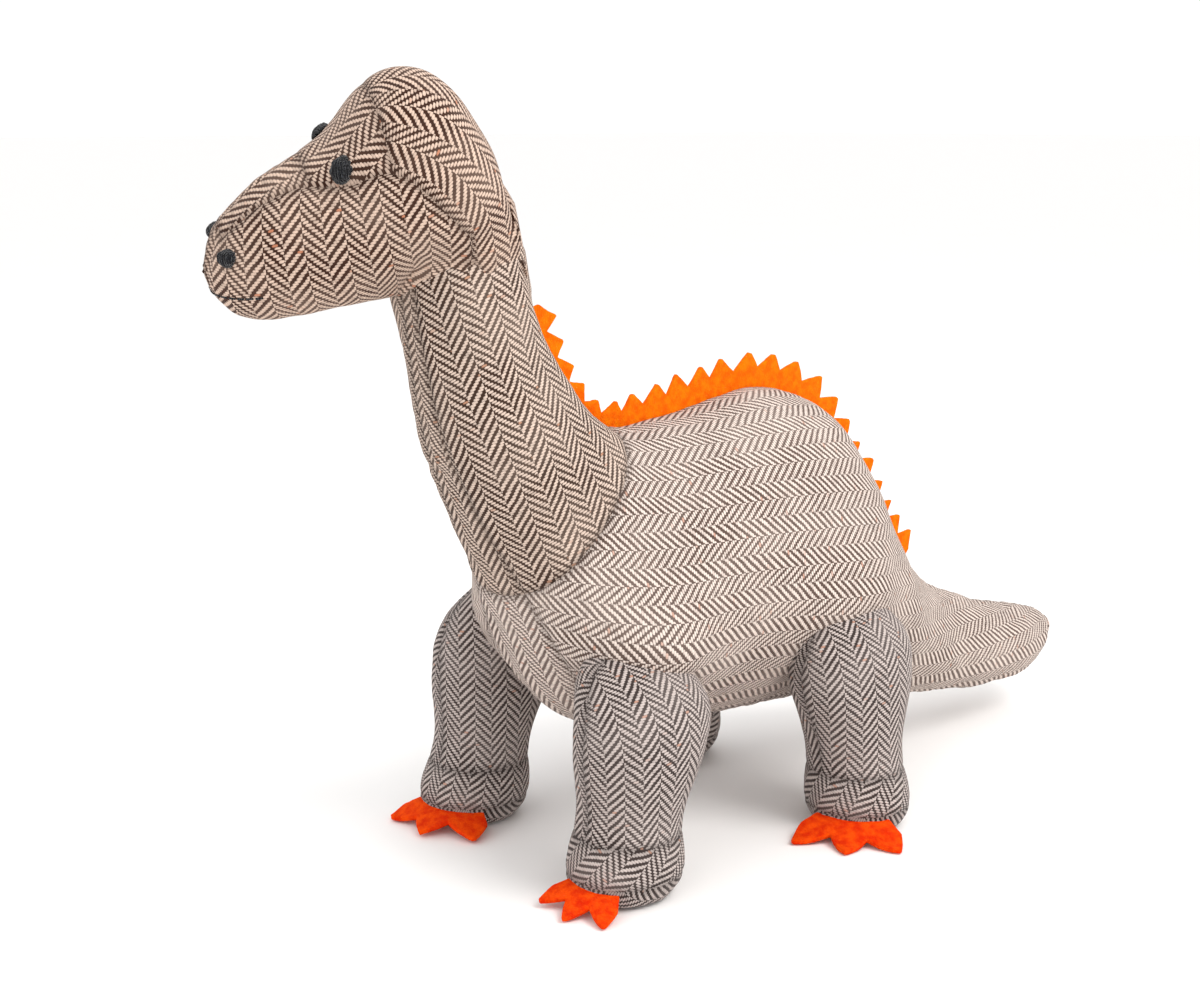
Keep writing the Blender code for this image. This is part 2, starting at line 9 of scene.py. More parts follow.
import bmesh
import bpy
import numpy as np
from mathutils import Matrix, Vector, noise
from mathutils.bvhtree import BVHTree
from mathutils.kdtree import KDTree
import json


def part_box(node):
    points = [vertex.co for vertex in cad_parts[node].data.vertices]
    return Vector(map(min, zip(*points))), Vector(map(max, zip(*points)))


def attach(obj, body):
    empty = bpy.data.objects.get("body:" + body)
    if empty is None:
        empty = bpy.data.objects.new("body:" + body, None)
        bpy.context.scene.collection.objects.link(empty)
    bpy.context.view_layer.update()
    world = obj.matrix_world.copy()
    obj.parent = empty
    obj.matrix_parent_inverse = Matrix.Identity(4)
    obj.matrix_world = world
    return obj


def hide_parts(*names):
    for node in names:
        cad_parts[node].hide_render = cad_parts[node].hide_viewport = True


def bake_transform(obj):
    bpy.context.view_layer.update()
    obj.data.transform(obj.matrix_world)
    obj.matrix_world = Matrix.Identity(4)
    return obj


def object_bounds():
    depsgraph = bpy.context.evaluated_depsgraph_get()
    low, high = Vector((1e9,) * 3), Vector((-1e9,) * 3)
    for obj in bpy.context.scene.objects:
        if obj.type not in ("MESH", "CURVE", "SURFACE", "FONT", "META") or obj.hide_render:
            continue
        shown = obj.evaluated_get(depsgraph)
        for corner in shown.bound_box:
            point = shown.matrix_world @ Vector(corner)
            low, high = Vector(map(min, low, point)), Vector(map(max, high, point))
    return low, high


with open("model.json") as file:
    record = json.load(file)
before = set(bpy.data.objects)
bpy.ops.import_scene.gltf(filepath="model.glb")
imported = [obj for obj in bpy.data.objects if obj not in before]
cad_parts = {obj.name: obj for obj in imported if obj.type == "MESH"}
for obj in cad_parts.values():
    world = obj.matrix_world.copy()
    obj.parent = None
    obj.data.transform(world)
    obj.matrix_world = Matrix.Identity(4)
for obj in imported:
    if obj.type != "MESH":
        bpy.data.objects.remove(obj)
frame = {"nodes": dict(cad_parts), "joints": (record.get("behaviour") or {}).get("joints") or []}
CAD_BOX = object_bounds()

# ---------------------------------------------------------------- cloth, felt and wool
FELT = 0.0024                 # thickness of the felt
DIP_SHARE = 0.62              # height of the crest in the dip between neck and back, against the back's
DIP_REACH = 0.055             # distance over which it grows to its full height
TOOTH_PITCH = 0.0145
CREST_BASE = 0.0094           # height of the crest between its teeth
CREST_TOOTH = 0.0092          # height of a tooth over that
CREST_ROOT = 0.0022           # part of the strip in the seam
CREST_START = 0.012           # bare seam between the head and the first tooth
GROOVE = 0.0011               # depth of a seam
GROOVE_WIDTH = 0.0015
PUCKER = 0.0006               # height of the puckers beside a seam
PUCKER_REACH = 0.0065
PUCKER_SIZE = 0.0075
LUMP = 0.0008                 # height of the filling's lumps
LUMP_SIZE = 0.032
CLAW_BASE = 0.0085            # reach of the claw felt between its points
CLAW_TOOTH = 0.0105           # reach of a point past that
CLAW_ROOT = 0.0025            # part of the strip in the seam
CLAW_APEX = (0.34, 0.5, 0.66)  # where the points stand in their widths
CLAW_SINK = 0.0030            # the claws' roots, under the top of the sole seam

# ---------------------------------------------------------------- herringbone, in ends and picks
ENDS = 8.0                    # ends in a stripe before the twill turns round
REPEAT = 4.0                  # of the twill, which steps one end a pick
FLOAT_MIDDLE = 1.22           # of a light float, in the repeat
FLOAT_HALF = 1.17             # half its length
FLOAT_SLANT = 0.28
FLOAT_EDGE = (1.38, 0.92)     # where a float ends, from outside in
DARK_RISE = 0.45              # height of the dark ends against the floats
FLECK_CHANCE = 0.022
WEAVE_WOBBLE = 0.0011         # how far, in metres, the yarns stray
WEAVE_DEPTH = 0.00042

# ---------------------------------------------------------------- studio
# place from the toy's middle, width, power and tint
LIGHTS = {
    "key": ((0.95, 0.25, 1.15), 0.9, 12.6, (1.0, 0.985, 0.965)),
    "front": ((0.35, -1.3, 0.75), 1.1, 1.4, (1, 1, 1)),
    "back": ((-0.8, 1.0, 1.0), 1.0, 3.0, (1, 1, 1)),
}
WORLD_LIGHT = 1.04
PAPER = (252, 251, 250)
FLOOR_REACH = 30
CAMERA_PLACE = (0.6205, -0.6117, 0.1589)
CAMERA_TURN, CAMERA_DROP = 50, 12
LENS, SENSOR = 54.0, 36.0

# ---------------------------------------------------------------- filling
CRUST = 0.0006                # how far the skin starts inside its CAD cover, before it is filled
SWELL_CAP = 0.0022            # furthest that the filling may push the cloth
SIM_FRAMES = 20
SETTLE_REACH = 0.006          # furthest that cloth is brought back out to its cover
SETTLE_ROUNDS = 14
STAND_OFF = 0.0004            # cloth over its cover

# ---------------------------------------------------------------- shape, past what the covers give
HAUNCH_RISE = 0.026           # height of a haunch's middle over the hip
HAUNCH_LENGTH = 0.038
HAUNCH_HEIGHT = 0.030
SLIM = 0.0130                 # taken off each side of the back, behind the top of the crest
SLIM_PLACE = (0.104, 0.158)   # back to front, and up
SLIM_SIZE = (0.034, 0.045)
NECK_SEAM = (-0.112, 0.172)   # middle of the seam between neck and body, back to front and up
NECK_SEAM_TILT = 42           # degrees that it leans back
NECK_ROWS = 52                # rings of the trunk's skin that belong to the neck
BODY_ROWS = 85                # and to the body and tail
TRUNK_COLUMNS = (29, 7)       # columns on a flank, and under the belly
NECK_SWELL = 0.0006           # how far the neck is filled out past its CAD covers
NECK_BLEND = 0.075            # distance over which the neck's cloth takes up its joint
NAPE_DROP = 0.046             # the head's lower edge at the back, under its joint
NAPE_TILT = -0.10             # slope of that edge
NAPE_REACH = 0.034            # height over which the head's cloth closes in on the neck
NAPE_HOLLOW = 0.0055          # how far the back of the head is drawn in, over the neck
HEAD_ROWS, HEAD_COLUMNS = 56, (12, 24)  # rings, and columns over and under a ring's seams
HEAD_INSET = 0.0004           # how far the skin's line stops short of the nose and of the back of the head
HEAD_SHIFT = (-0.0007, -0.0010, 0.0005)
HEAD_SWELL = 0.0009           # how far the head is filled out past its CAD covers
EYE_DIP = 13                  # degrees that the crown's seam dips under the eye
MUZZLE_END = 0.90             # where the muzzle's top panel stops, from the head's back to the nose
LEG_SPREAD = 0.19             # how much wider a leg is at its top, front to back
# how far the flank stands out over the top of a leg
HAUNCH = {"front": 0.026, "hind": 0.011}
# how far the top of a leg leans in to the flank
LEAN = {"front": 0.021, "hind": 0.010}
# how much higher than its CAD cover a leg is gathered at its top
LEG_RISE = {"front_right": 0.015}
LEG_ROWS, BAND_ROWS = 26, 5   # rings down to the ankle, and down the foot band
LEG_COLUMNS = 32
LEG_INSET = 0.0006            # how far a leg's highest ring lies under the top of its cover
LEG_OUT = 0.010               # how far out of the hinge that ring stands
LEAN_CURVE = 1.6
SOLE_LIFT = 0.0004
# degrees that the stripes slant back on a foot band
FOOT_GRAIN = {"front_left": 58, "front_right": 12, "hind_left": 40, "hind_right": 75}
# how far a foot stands from its CAD place, left and back
FOOT_SHIFT = {
    "front_left": (-0.0022, -0.0034),
    "front_right": (-0.0014, -0.002),
    "hind_left": (0.001, 0.0014),
    "hind_right": (0.0, 0.0),
}
# half angle of a foot's claws, how far they turn to the left, seed and size
CLAWS = {
    "front_left": (33, 12, 0.0, 0.95),
    "front_right": (50, 0, 0.3, 1.0),
    "hind_left": (42, 0, 0.6, 1.28),
    "hind_right": (40, 0, 0.9, 1.1),
}
# half width and half height of a wool knot, how far it stands forward of and over its CAD place, and seed
KNOTS = {"eye": (0.0043, 0.0060, 0.0025, 0.0, 21), "nostril": (0.0038, 0.0038, -0.0005, 0.0032, 31)}
WOOL = 0.00062                # radius of the wool
# turned-in end of a piece: share towards its middle, and depth
FLAP = ((0.06, 0.003), (0.5, 0.004))
UP = Vector((0, 0, 1))
ACROSS = Vector((1, 0, 0))

JOINTS = {joint["name"]: Vector(joint["pos_m"]) for joint in frame["joints"]}
LEGS = ("front_left", "front_right", "hind_left", "hind_right")


def middle(*nodes):
    """Centre of the box round some CAD nodes."""
    low = Vector([min(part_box(n)[0][k] for n in nodes) for k in range(3)])
    high = Vector([max(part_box(n)[1][k] for n in nodes) for k in range(3)])
    return (low + high) / 2


def tilted(degrees):
    """Direction in the toy's middle plane, leaning back from straight up."""
    angle = math.radians(degrees)
    return Vector((0, math.sin(angle), math.cos(angle)))


def clamp(share):
    """A share, kept between 0 and 1."""
    return max(0.0, min(1.0, share))


def smooth(share):
    """Share between 0 and 1, eased at both ends."""
    share = clamp(share)
    return share * share * (3 - 2 * share)


def placed(name, data):
    """A new object in the scene."""
    item = bpy.data.objects.new(name, data)
    bpy.context.scene.collection.objects.link(item)
    return item


def meshed(name, vertices, faces):
    """A new mesh object from points and faces."""
    mesh = bpy.data.meshes.new(name)
    mesh.from_pydata(vertices, [], faces)
    return placed(name, mesh)


def surface(item):
    """Search tree of an object's surface."""
    return BVHTree.FromObject(item, bpy.context.evaluated_depsgraph_get())


# ---------------------------------------------------------------- measuring the covers
class Covers:
    """The outer surface of some CAD cover nodes, found by rays."""

    def __init__(self, nodes):
        points, faces, self.owner = [], [], []
        for node in nodes:
            mesh = frame["nodes"][node].data
            start = len(points)
            points += [v.co.copy() for v in mesh.vertices]
            faces += [[start + k for k in p.vertices] for p in mesh.polygons]
            self.owner += [node] * len(mesh.polygons)
        self.tree = BVHTree.FromPolygons(points, faces)

    def radius(self, centre, direction, reach):
        """Distance from centre to the outer surface along a direction, and the cover hit there."""
        place, _, face, distance = self.tree.ray_cast(centre + direction * reach, -direction, reach * 0.97)
        if place is None:
            return None, None
        return reach - distance, self.owner[face]


def blurred(grid, rows, columns):
    """Grid smoothed with small binomial steps; its columns run round a ring."""
    for _ in range(rows):
        padded = np.vstack([grid[:1], grid, grid[-1:]])
        grid = (padded[:-2] + 2 * padded[1:-1] + padded[2:]) / 4
    for _ in range(columns):
        grid = (np.roll(grid, 1, 1) + 2 * grid + np.roll(grid, -1, 1)) / 4
    return grid


def filled(grid):
    """Grid whose missing values are drawn in from their neighbours."""
    known = ~np.isnan(grid)
    grid = np.where(known, grid, np.nanmean(grid))
    for _ in range(600):
        soft = blurred(grid, 1, 1)
        grid = np.where(known, grid, soft)
    return grid


def smooth_line(values, rounds):
    """A list of numbers smoothed, with gaps filled from the nearest known value."""
    values = np.array([np.nan if v is None else v for v in values], float)
    known = np.where(~np.isnan(values))[0]
    values = np.interp(np.arange(len(values)), known, values[known])
    for _ in range(rounds):
        values[1:-1] = (values[:-2] + 2 * values[1:-1] + values[2:]) / 4
    return values


def lengths_along(rings):
    """Length of a line of rings up to each of them."""
    lengths = [0.0]
    for a, b in zip(rings, rings[1:]):
        lengths.append(lengths[-1] + (b[0] - a[0]).length)
    return lengths


def along(keys, count, spacing=None):
    """Rings (centre, up) along a smooth line through key rings, evenly spaced or at given shares."""
    fine = []
    for i in range(len(keys) - 1):
        around = [keys[min(max(k, 0), len(keys) - 1)] for k in (i - 1, i, i + 1, i + 2)]
        for step in range(20):
            t = step / 20
            fine.append([catmull([key[part] for key in around], t) for part in (0, 1)])
    fine.append(list(keys[-1]))
    lengths = lengths_along(fine)
    shares = spacing or [k / (count - 1) for k in range(count)]
    rings = []
    for share in shares:
        target = share * lengths[-1]
        index = max(k for k in range(len(fine) - 1) if lengths[k] <= target + 1e-9)
        t = (target - lengths[index]) / (lengths[index + 1] - lengths[index])
        centre = fine[index][0].lerp(fine[index + 1][0], t)
        rings.append((centre, fine[index][1].lerp(fine[index + 1][1], t).normalized()))
    return rings


def catmull(p, t):
    """Catmull-Rom point between the middle two of four."""
    a = (p[2] - p[0]) * t
    b = (p[0] * 2 - p[1] * 5 + p[2] * 4 - p[3]) * t * t
    c = (p[1] * 3 - p[0] - p[2] * 3 + p[3]) * t ** 3
    return p[1] + (a + b + c) * 0.5


# ---------------------------------------------------------------- a skin
class Skin:
    """Closed cloth surface on rings round a line, with its columns on the seams."""

    def __init__(self, rings, side, nodes, reach, soft, around=96, neck=None):
        self.rings = rings
        self.side = side
        covers = Covers(nodes)
        under = Covers(neck[0]) if neck else None
        radii = np.full((len(rings), around), np.nan)
        self.hits = []
        for i, (centre, _) in enumerate(rings):
            found = []
            for k in range(around):
                direction = self.direction(i, 2 * math.pi * k / around)
                far = reach[i] if isinstance(reach, list) else reach
                radius, node = covers.radius(centre, direction, far)
                if neck:
                    radius = over_neck(centre, direction, radius, under, reach, *neck[1:])
                radii[i, k] = np.nan if radius is None else radius
                found.append(node)
            self.hits.append(found)
        self.radii = blurred(filled(radii), *soft)
        self.around = around

    def direction(self, ring, angle):
        """Unit vector in a ring's plane, at an angle from its top round by the side."""
        up = self.rings[ring][1]
        return (up * math.cos(angle) + self.side * math.sin(angle)).normalized()

    def point(self, ring, angle, inset=0.0):
        """Point of the skin on a ring."""
        place = angle / (2 * math.pi) * self.around
        low = int(math.floor(place))
        part = place - low
        row = self.radii[ring]
        radius = row[low % self.around] * (1 - part) + row[(low + 1) % self.around] * part
        radius = max(radius - inset, 0.15 * radius)
        return self.rings[ring][0] + self.direction(ring, angle) * radius

    def seam(self, kind, default, rounds=6):
        """Angle from the top to where the covers of one kind begin, ring by ring."""
        result = []
        half = self.around // 2
        for found in self.hits:
            sides = []
            for turn in (1, -1):
                names = [found[(turn * k) % self.around] for k in range(half + 1)]
                inside = [k for k, node in enumerate(names) if node and node.startswith(kind)]
                other = [k for k, node in enumerate(names) if node and not node.startswith(kind)]
                if inside and other:
                    before = [k for k in other if k < inside[0]]
                    if before:
                        sides.append((inside[0] + before[-1]) / 2)
            result.append(sum(sides) / len(sides) * 2 * math.pi / self.around if sides else None)
        if all(v is None for v in result):
            return np.full(len(self.hits), default)
        return smooth_line(result, rounds)


def over_neck(centre, direction, radius, neck, reach, foot, normal):
    """Radius of the head's skin along a ray: it wraps the neck's top, down to a plane across the neck."""
    fall = direction.dot(normal)
    room = (foot - centre).dot(normal) / fall if fall < -1e-6 else 1.0
    outer = neck.radius(centre, direction, reach)[0]
    if outer is None:
        return radius
    wrapped = min(outer + 0.0008, room)
    return wrapped if radius is None else max(radius, wrapped)


def make_mesh(name, skin, columns, panel_of, caps=(True, True), inset=lambda ring: CRUST):
    """Quad mesh of a skin; columns(ring) gives its angles, panel_of(ring, column) each quad's panel."""
    vertices, faces, panels = [], [], []
    count = len(columns(0))
    rows = len(skin.rings)
    for i in range(rows):
        vertices += [skin.point(i, angle, inset(i)) for angle in columns(i)]
    for i in range(rows - 1):
        for j in range(count):
            k = (j + 1) % count
            faces.append((i * count + j, (i + 1) * count + j, (i + 1) * count + k, i * count + k))
            panels.append(panel_of(i, j))
    for end, row in ((0, 0), (1, rows - 1)):
        ring = [row * count + j for j in range(count)]
        hub = sum((vertices[k] for k in ring), Vector()) / count
        if caps[end]:
            bulge = (skin.rings[row][0] - skin.rings[row + (1 if row == 0 else -1)][0]).normalized()
            hub = hub + bulge * caps[end] * (vertices[ring[0]] - hub).length
        vertices.append(hub)
        for j in range(count):
            k = (j + 1) % count
            order = (ring[j], ring[k], len(vertices) - 1)
            faces.append(order if row == 0 else tuple(reversed(order)))
            panels.append(panel_of(row if row == 0 else row - 1, j))
    item = meshed(name, vertices, faces)
    mesh = item.data
    shape = bmesh.new()
    shape.from_mesh(mesh)
    bmesh.ops.recalc_face_normals(shape, faces=shape.faces[:])
    shape.to_mesh(mesh)
    shape.free()
    names = sorted(set(panels))
    layer = mesh.attributes.new("panel", "INT", "FACE")
    layer.data.foreach_set("value", [names.index(p) for p in panels])
    return item, names


# ---------------------------------------------------------------- filling, flattening and seams
CLOTH_SETTINGS = {
    "quality": 5, "mass": 0.2, "tension_stiffness": 25, "compression_stiffness": 25, "shear_stiffness": 8,
    "bending_stiffness": 1.5, "use_pressure": True, "pin_stiffness": 1.5, "shrink_min": 0.0,
}


def seam_edges(mesh):
    """Edges between two panels, as vertex pairs."""
    panel = mesh.attributes["panel"].data
    owner, seams = {}, set()
    for face in mesh.polygons:
        for edge in face.edge_keys:
            if edge in owner and owner[edge] != panel[face.index].value:
                seams.add(edge)
            owner.setdefault(edge, panel[face.index].value)
    return seams


def swell(item, pressure, tightness):
    """Fill a skin by cloth simulation: its panels puff out between seams that hold back."""
    mesh = item.data
    rest = np.array([v.co for v in mesh.vertices])
    held = item.vertex_groups.new(name="held")
    tight = item.vertex_groups.new(name="tight")
    on_seam = sorted({k for edge in seam_edges(mesh) for k in edge})
    held.add(on_seam, 0.6, "REPLACE")
    tight.add(on_seam, 1.0, "REPLACE")
    modifier = item.modifiers.new("filling", "CLOTH")
    cloth = modifier.settings
    for key, value in CLOTH_SETTINGS.items():
        setattr(cloth, key, value)
    cloth.uniform_pressure_force = pressure
    cloth.effector_weights.gravity = 0
    cloth.vertex_group_mass = "held"
    cloth.vertex_group_shrink = "tight"
    cloth.shrink_max = tightness
    modifier.point_cache.frame_start = 1
    modifier.point_cache.frame_end = SIM_FRAMES
    scene = bpy.context.scene
    for step in range(1, SIM_FRAMES + 1):
        scene.frame_set(step)
    shown = item.evaluated_get(bpy.context.evaluated_depsgraph_get())
    moved = np.array([v.co for v in shown.data.vertices])
    item.modifiers.remove(modifier)
    scene.frame_set(1)
    step = moved - rest
    length = np.linalg.norm(step, axis=1, keepdims=True)
    step *= np.minimum(1.0, SWELL_CAP / np.maximum(length, 1e-9))
    mesh.vertices.foreach_set("co", (rest + step).ravel())
    mesh.update()


def settle(item, nodes):
    """Bring the filled cloth out to its covers wherever it lies evenly under them; its small folds stay."""
    mesh = item.data
    tree = Covers(nodes).tree
    gap = np.zeros(len(mesh.vertices))
    for v in mesh.vertices:
        place, _, _, _ = tree.find_nearest(v.co, SETTLE_REACH)
        if place is not None:
            gap[v.index] = (place - v.co).dot(v.normal)
    ends = np.array([e.vertices for e in mesh.edges])
    near = np.maximum(np.bincount(ends.ravel(), minlength=len(gap)), 1)
    for _ in range(SETTLE_ROUNDS):
        total = np.zeros(len(gap))
        np.add.at(total, ends[:, 0], gap[ends[:, 1]])
        np.add.at(total, ends[:, 1], gap[ends[:, 0]])
        gap = 0.5 * gap + 0.5 * total / near
    moved = [v.co + v.normal * (gap[v.index] + STAND_OFF) for v in mesh.vertices]
    mesh.vertices.foreach_set("co", np.array(moved).ravel())
    mesh.update()


def flatten(item, names, grains):
    """Lay each panel out flat as it was cut, and turn it so that the stripes run along its grain."""
    mesh = item.data
    mesh.uv_layers.new(name="cut")
    shape = bmesh.new()
    shape.from_mesh(mesh)
    seams = seam_edges(mesh)
    for edge in shape.edges:
        edge.seam = tuple(sorted(v.index for v in edge.verts)) in seams
    shape.to_mesh(mesh)
    shape.free()
    bpy.context.view_layer.objects.active = item
    for other in bpy.context.selected_objects:
        other.select_set(False)
    item.select_set(True)
    bpy.ops.object.mode_set(mode="EDIT")
    bpy.ops.mesh.select_all(action="SELECT")
    bpy.ops.uv.unwrap(method="MINIMUM_STRETCH", margin=0.001, iterations=30)
    bpy.ops.object.mode_set(mode="OBJECT")
    uv = mesh.uv_layers["cut"].data
    panel = mesh.attributes["panel"].data
    for number, name in enumerate(names):
        faces = [f for f in mesh.polygons if panel[f.index].value == number]
        loops = [k for f in faces for k in f.loop_indices]
        if not loops:
            continue
        grain = grains.get(name, UP).normalized()
        flat = np.array([uv[k].uv for k in loops])
        solid = np.array([mesh.vertices[mesh.loops[k].vertex_index].co for k in loops])
        area = sum(f.area for f in faces)
        flat_area = sum(polygon_area([uv[k].uv for k in f.loop_indices]) for f in faces)
        scale = math.sqrt(area / max(abs(flat_area), 1e-12))
        flat = (flat - flat.mean(0)) * scale
        facing = sum((f.normal * f.area for f in faces), Vector()).normalized()
        across = grain.cross(facing)
        if across.length < 0.3:
            across = grain.cross(ACROSS)
        target = np.stack([(solid - solid.mean(0)) @ np.array(across.normalized()),
                           (solid - solid.mean(0)) @ np.array(grain)], 1)
        cosine = (flat * target).sum()
        sine = (flat[:, 0] * target[:, 1] - flat[:, 1] * target[:, 0]).sum()
        turn = math.atan2(sine, cosine)
        spin = np.array([[math.cos(turn), math.sin(turn)], [-math.sin(turn), math.cos(turn)]])
        flat = flat @ spin + number * np.array([0.3171, 0.7137])
        for k, place in zip(loops, flat):
            uv[k].uv = place


def polygon_area(points):
    """Signed area of a flat polygon."""
    total = 0.0
    for a, b in zip(points, points[1:] + points[:1]):
        total += a[0] * b[1] - a[1] * b[0]
    return total / 2


def refine(item, levels):
    """Round the skin off with subdivision, and apply it."""
    modifier = item.modifiers.new("round", "SUBSURF")
    modifier.levels = levels
    modifier.render_levels = levels
    modifier.uv_smooth = "PRESERVE_BOUNDARIES"
    shown = item.evaluated_get(bpy.context.evaluated_depsgraph_get())
    mesh = bpy.data.meshes.new_from_object(shown)
    item.modifiers.clear()
    item.vertex_groups.clear()
    item.data = mesh


def sew(item, strength=1.0, seed=0.0):
    """Sink the seams into the cloth, gather it into puckers beside them and leave it a little lumpy; also
    store a painted-shade weight along the seams for the cloth's colour.
    """
    mesh = item.data
    points = sorted({k for edge in seam_edges(mesh) for k in edge})
    tree = KDTree(len(points))
    for number, k in enumerate(points):
        tree.insert(mesh.vertices[k].co, number)
    tree.balance()
    shift = Vector((seed, seed * 0.7, -seed))
    moved, depth = [], []
    for v in mesh.vertices:
        near, _, away = tree.find(v.co)
        ridge = noise.noise((near + shift) / PUCKER_SIZE)
        fade = away / PUCKER_REACH
        up = PUCKER * strength * ridge * 2.2 * fade * math.exp(1 - fade)
        up -= GROOVE * strength * math.exp(-(away / GROOVE_WIDTH) ** 2)
        up += LUMP * noise.noise((v.co + shift) / LUMP_SIZE) * 1.6
        moved.append(v.co + v.normal * up)
        # painted shade: a weight of 1 on a seam, fading within a few millimetres, that darkens the cloth's
        # colour in the groove
        depth.append(math.exp(-(away / (1.6 * GROOVE_WIDTH)) ** 2))
    for v, place in zip(mesh.vertices, moved):
        v.co = (place.x, place.y, max(place.z, 0.0003))
    # the painted-shade weight is stored as the point attribute named seam
    layer = mesh.attributes.new("seam", "FLOAT", "POINT")
    layer.data.foreach_set("value", depth)
    mesh.update()


def finish_skin(item, names, grains, nodes, shape=None, levels=2, strength=1.0, seed=0.0, pressure=4.0,
                tightness=0.03):
    """Everything that turns a measured surface into sewn and stuffed cloth."""
    swell(item, pressure, tightness)
    settle(item, nodes)
    if shape:
        shape(item)
    flatten(item, names, grains)
    refine(item, levels)
    sew(item, strength, seed)
    item.data.shade_smooth()
    return item


# ---------------------------------------------------------------- materials
class Shader:
    """A node material built up from short calls."""

    def __init__(self, name):
        self.material = bpy.data.materials.new(name)
        self.material.use_nodes = True
        self.tree = self.material.node_tree
        self.base = self.tree.nodes["Principled BSDF"]
        self.base.inputs["Metallic"].default_value = 0.0

    def node(self, kind, values=(), **settings):
        """A node with its input values or links, and its settings."""
        made = self.tree.nodes.new(kind)
        for key, value in settings.items():
            setattr(made, key, value)
        for socket, value in dict(values).items():
            self.give(made.inputs[socket], value)
        return made

    def give(self, socket, value):
        """Link a socket to another one, or set its value."""
        if isinstance(value, bpy.types.NodeSocket):
            self.tree.links.new(value, socket)
        else:
            socket.default_value = value

    def math(self, operation, *values):
        """Result of a math node."""
        return self.node("ShaderNodeMath", enumerate(values), operation=operation).outputs[0]

    def add(self, first, second):
        """Sum of two values."""
        return self.math("ADD", first, second)

    def sub(self, first, second):
        """Difference of two values."""
        return self.math("SUBTRACT", first, second)

    def mul(self, first, second):
        """Product of two values."""
        return self.math("MULTIPLY", first, second)

    def ramp(self, value, low, high):
        """Smooth step from 0 at low to 1 at high."""
        made = self.node("ShaderNodeMapRange", {"Value": value, "From Min": low, "From Max": high},
                         interpolation_type="SMOOTHSTEP")
        return made.outputs["Result"]

    def mix(self, share, first, second, blend="MIX"):
        """Mixed colour."""
        made = self.node("ShaderNodeMix", data_type="RGBA", blend_type=blend)
        self.give(made.inputs["Factor"], share)
        self.give(made.inputs[6], first)
        self.give(made.inputs[7], second)
        return made.outputs[2]

    def noise(self, vector, scale, detail=2.0):
        """Noise value between 0 and 1."""
        values = {"Vector": vector, "Scale": scale, "Detail": detail}
        return self.node("ShaderNodeTexNoise", values).outputs["Fac"]

    def bump(self, height, distance, strength=1.0):
        """Bump the surface by a height."""
        made = self.node("ShaderNodeBump", {"Height": height, "Distance": distance, "Strength": strength})
        self.tree.links.new(made.outputs["Normal"], self.base.inputs["Normal"])

    def set(self, **values):
        """Set or link inputs of the Principled shader, with spaces written as _."""
        for key, value in values.items():
            self.give(self.base.inputs[key.replace("_", " ")], value)


def colour(red, green, blue):
    """Linear colour from 8-bit screen values."""
    def linear(value):
        value /= 255
        return value / 12.92 if value <= 0.04045 else ((value + 0.055) / 1.055) ** 2.4
    return (linear(red), linear(green), linear(blue), 1.0)


def shade(tone, share, more=0.0):
    """A linear colour scaled by a share, with a little more light."""
    return tuple(min(1.0, c * share + more) for c in tone[:3]) + (1.0,)


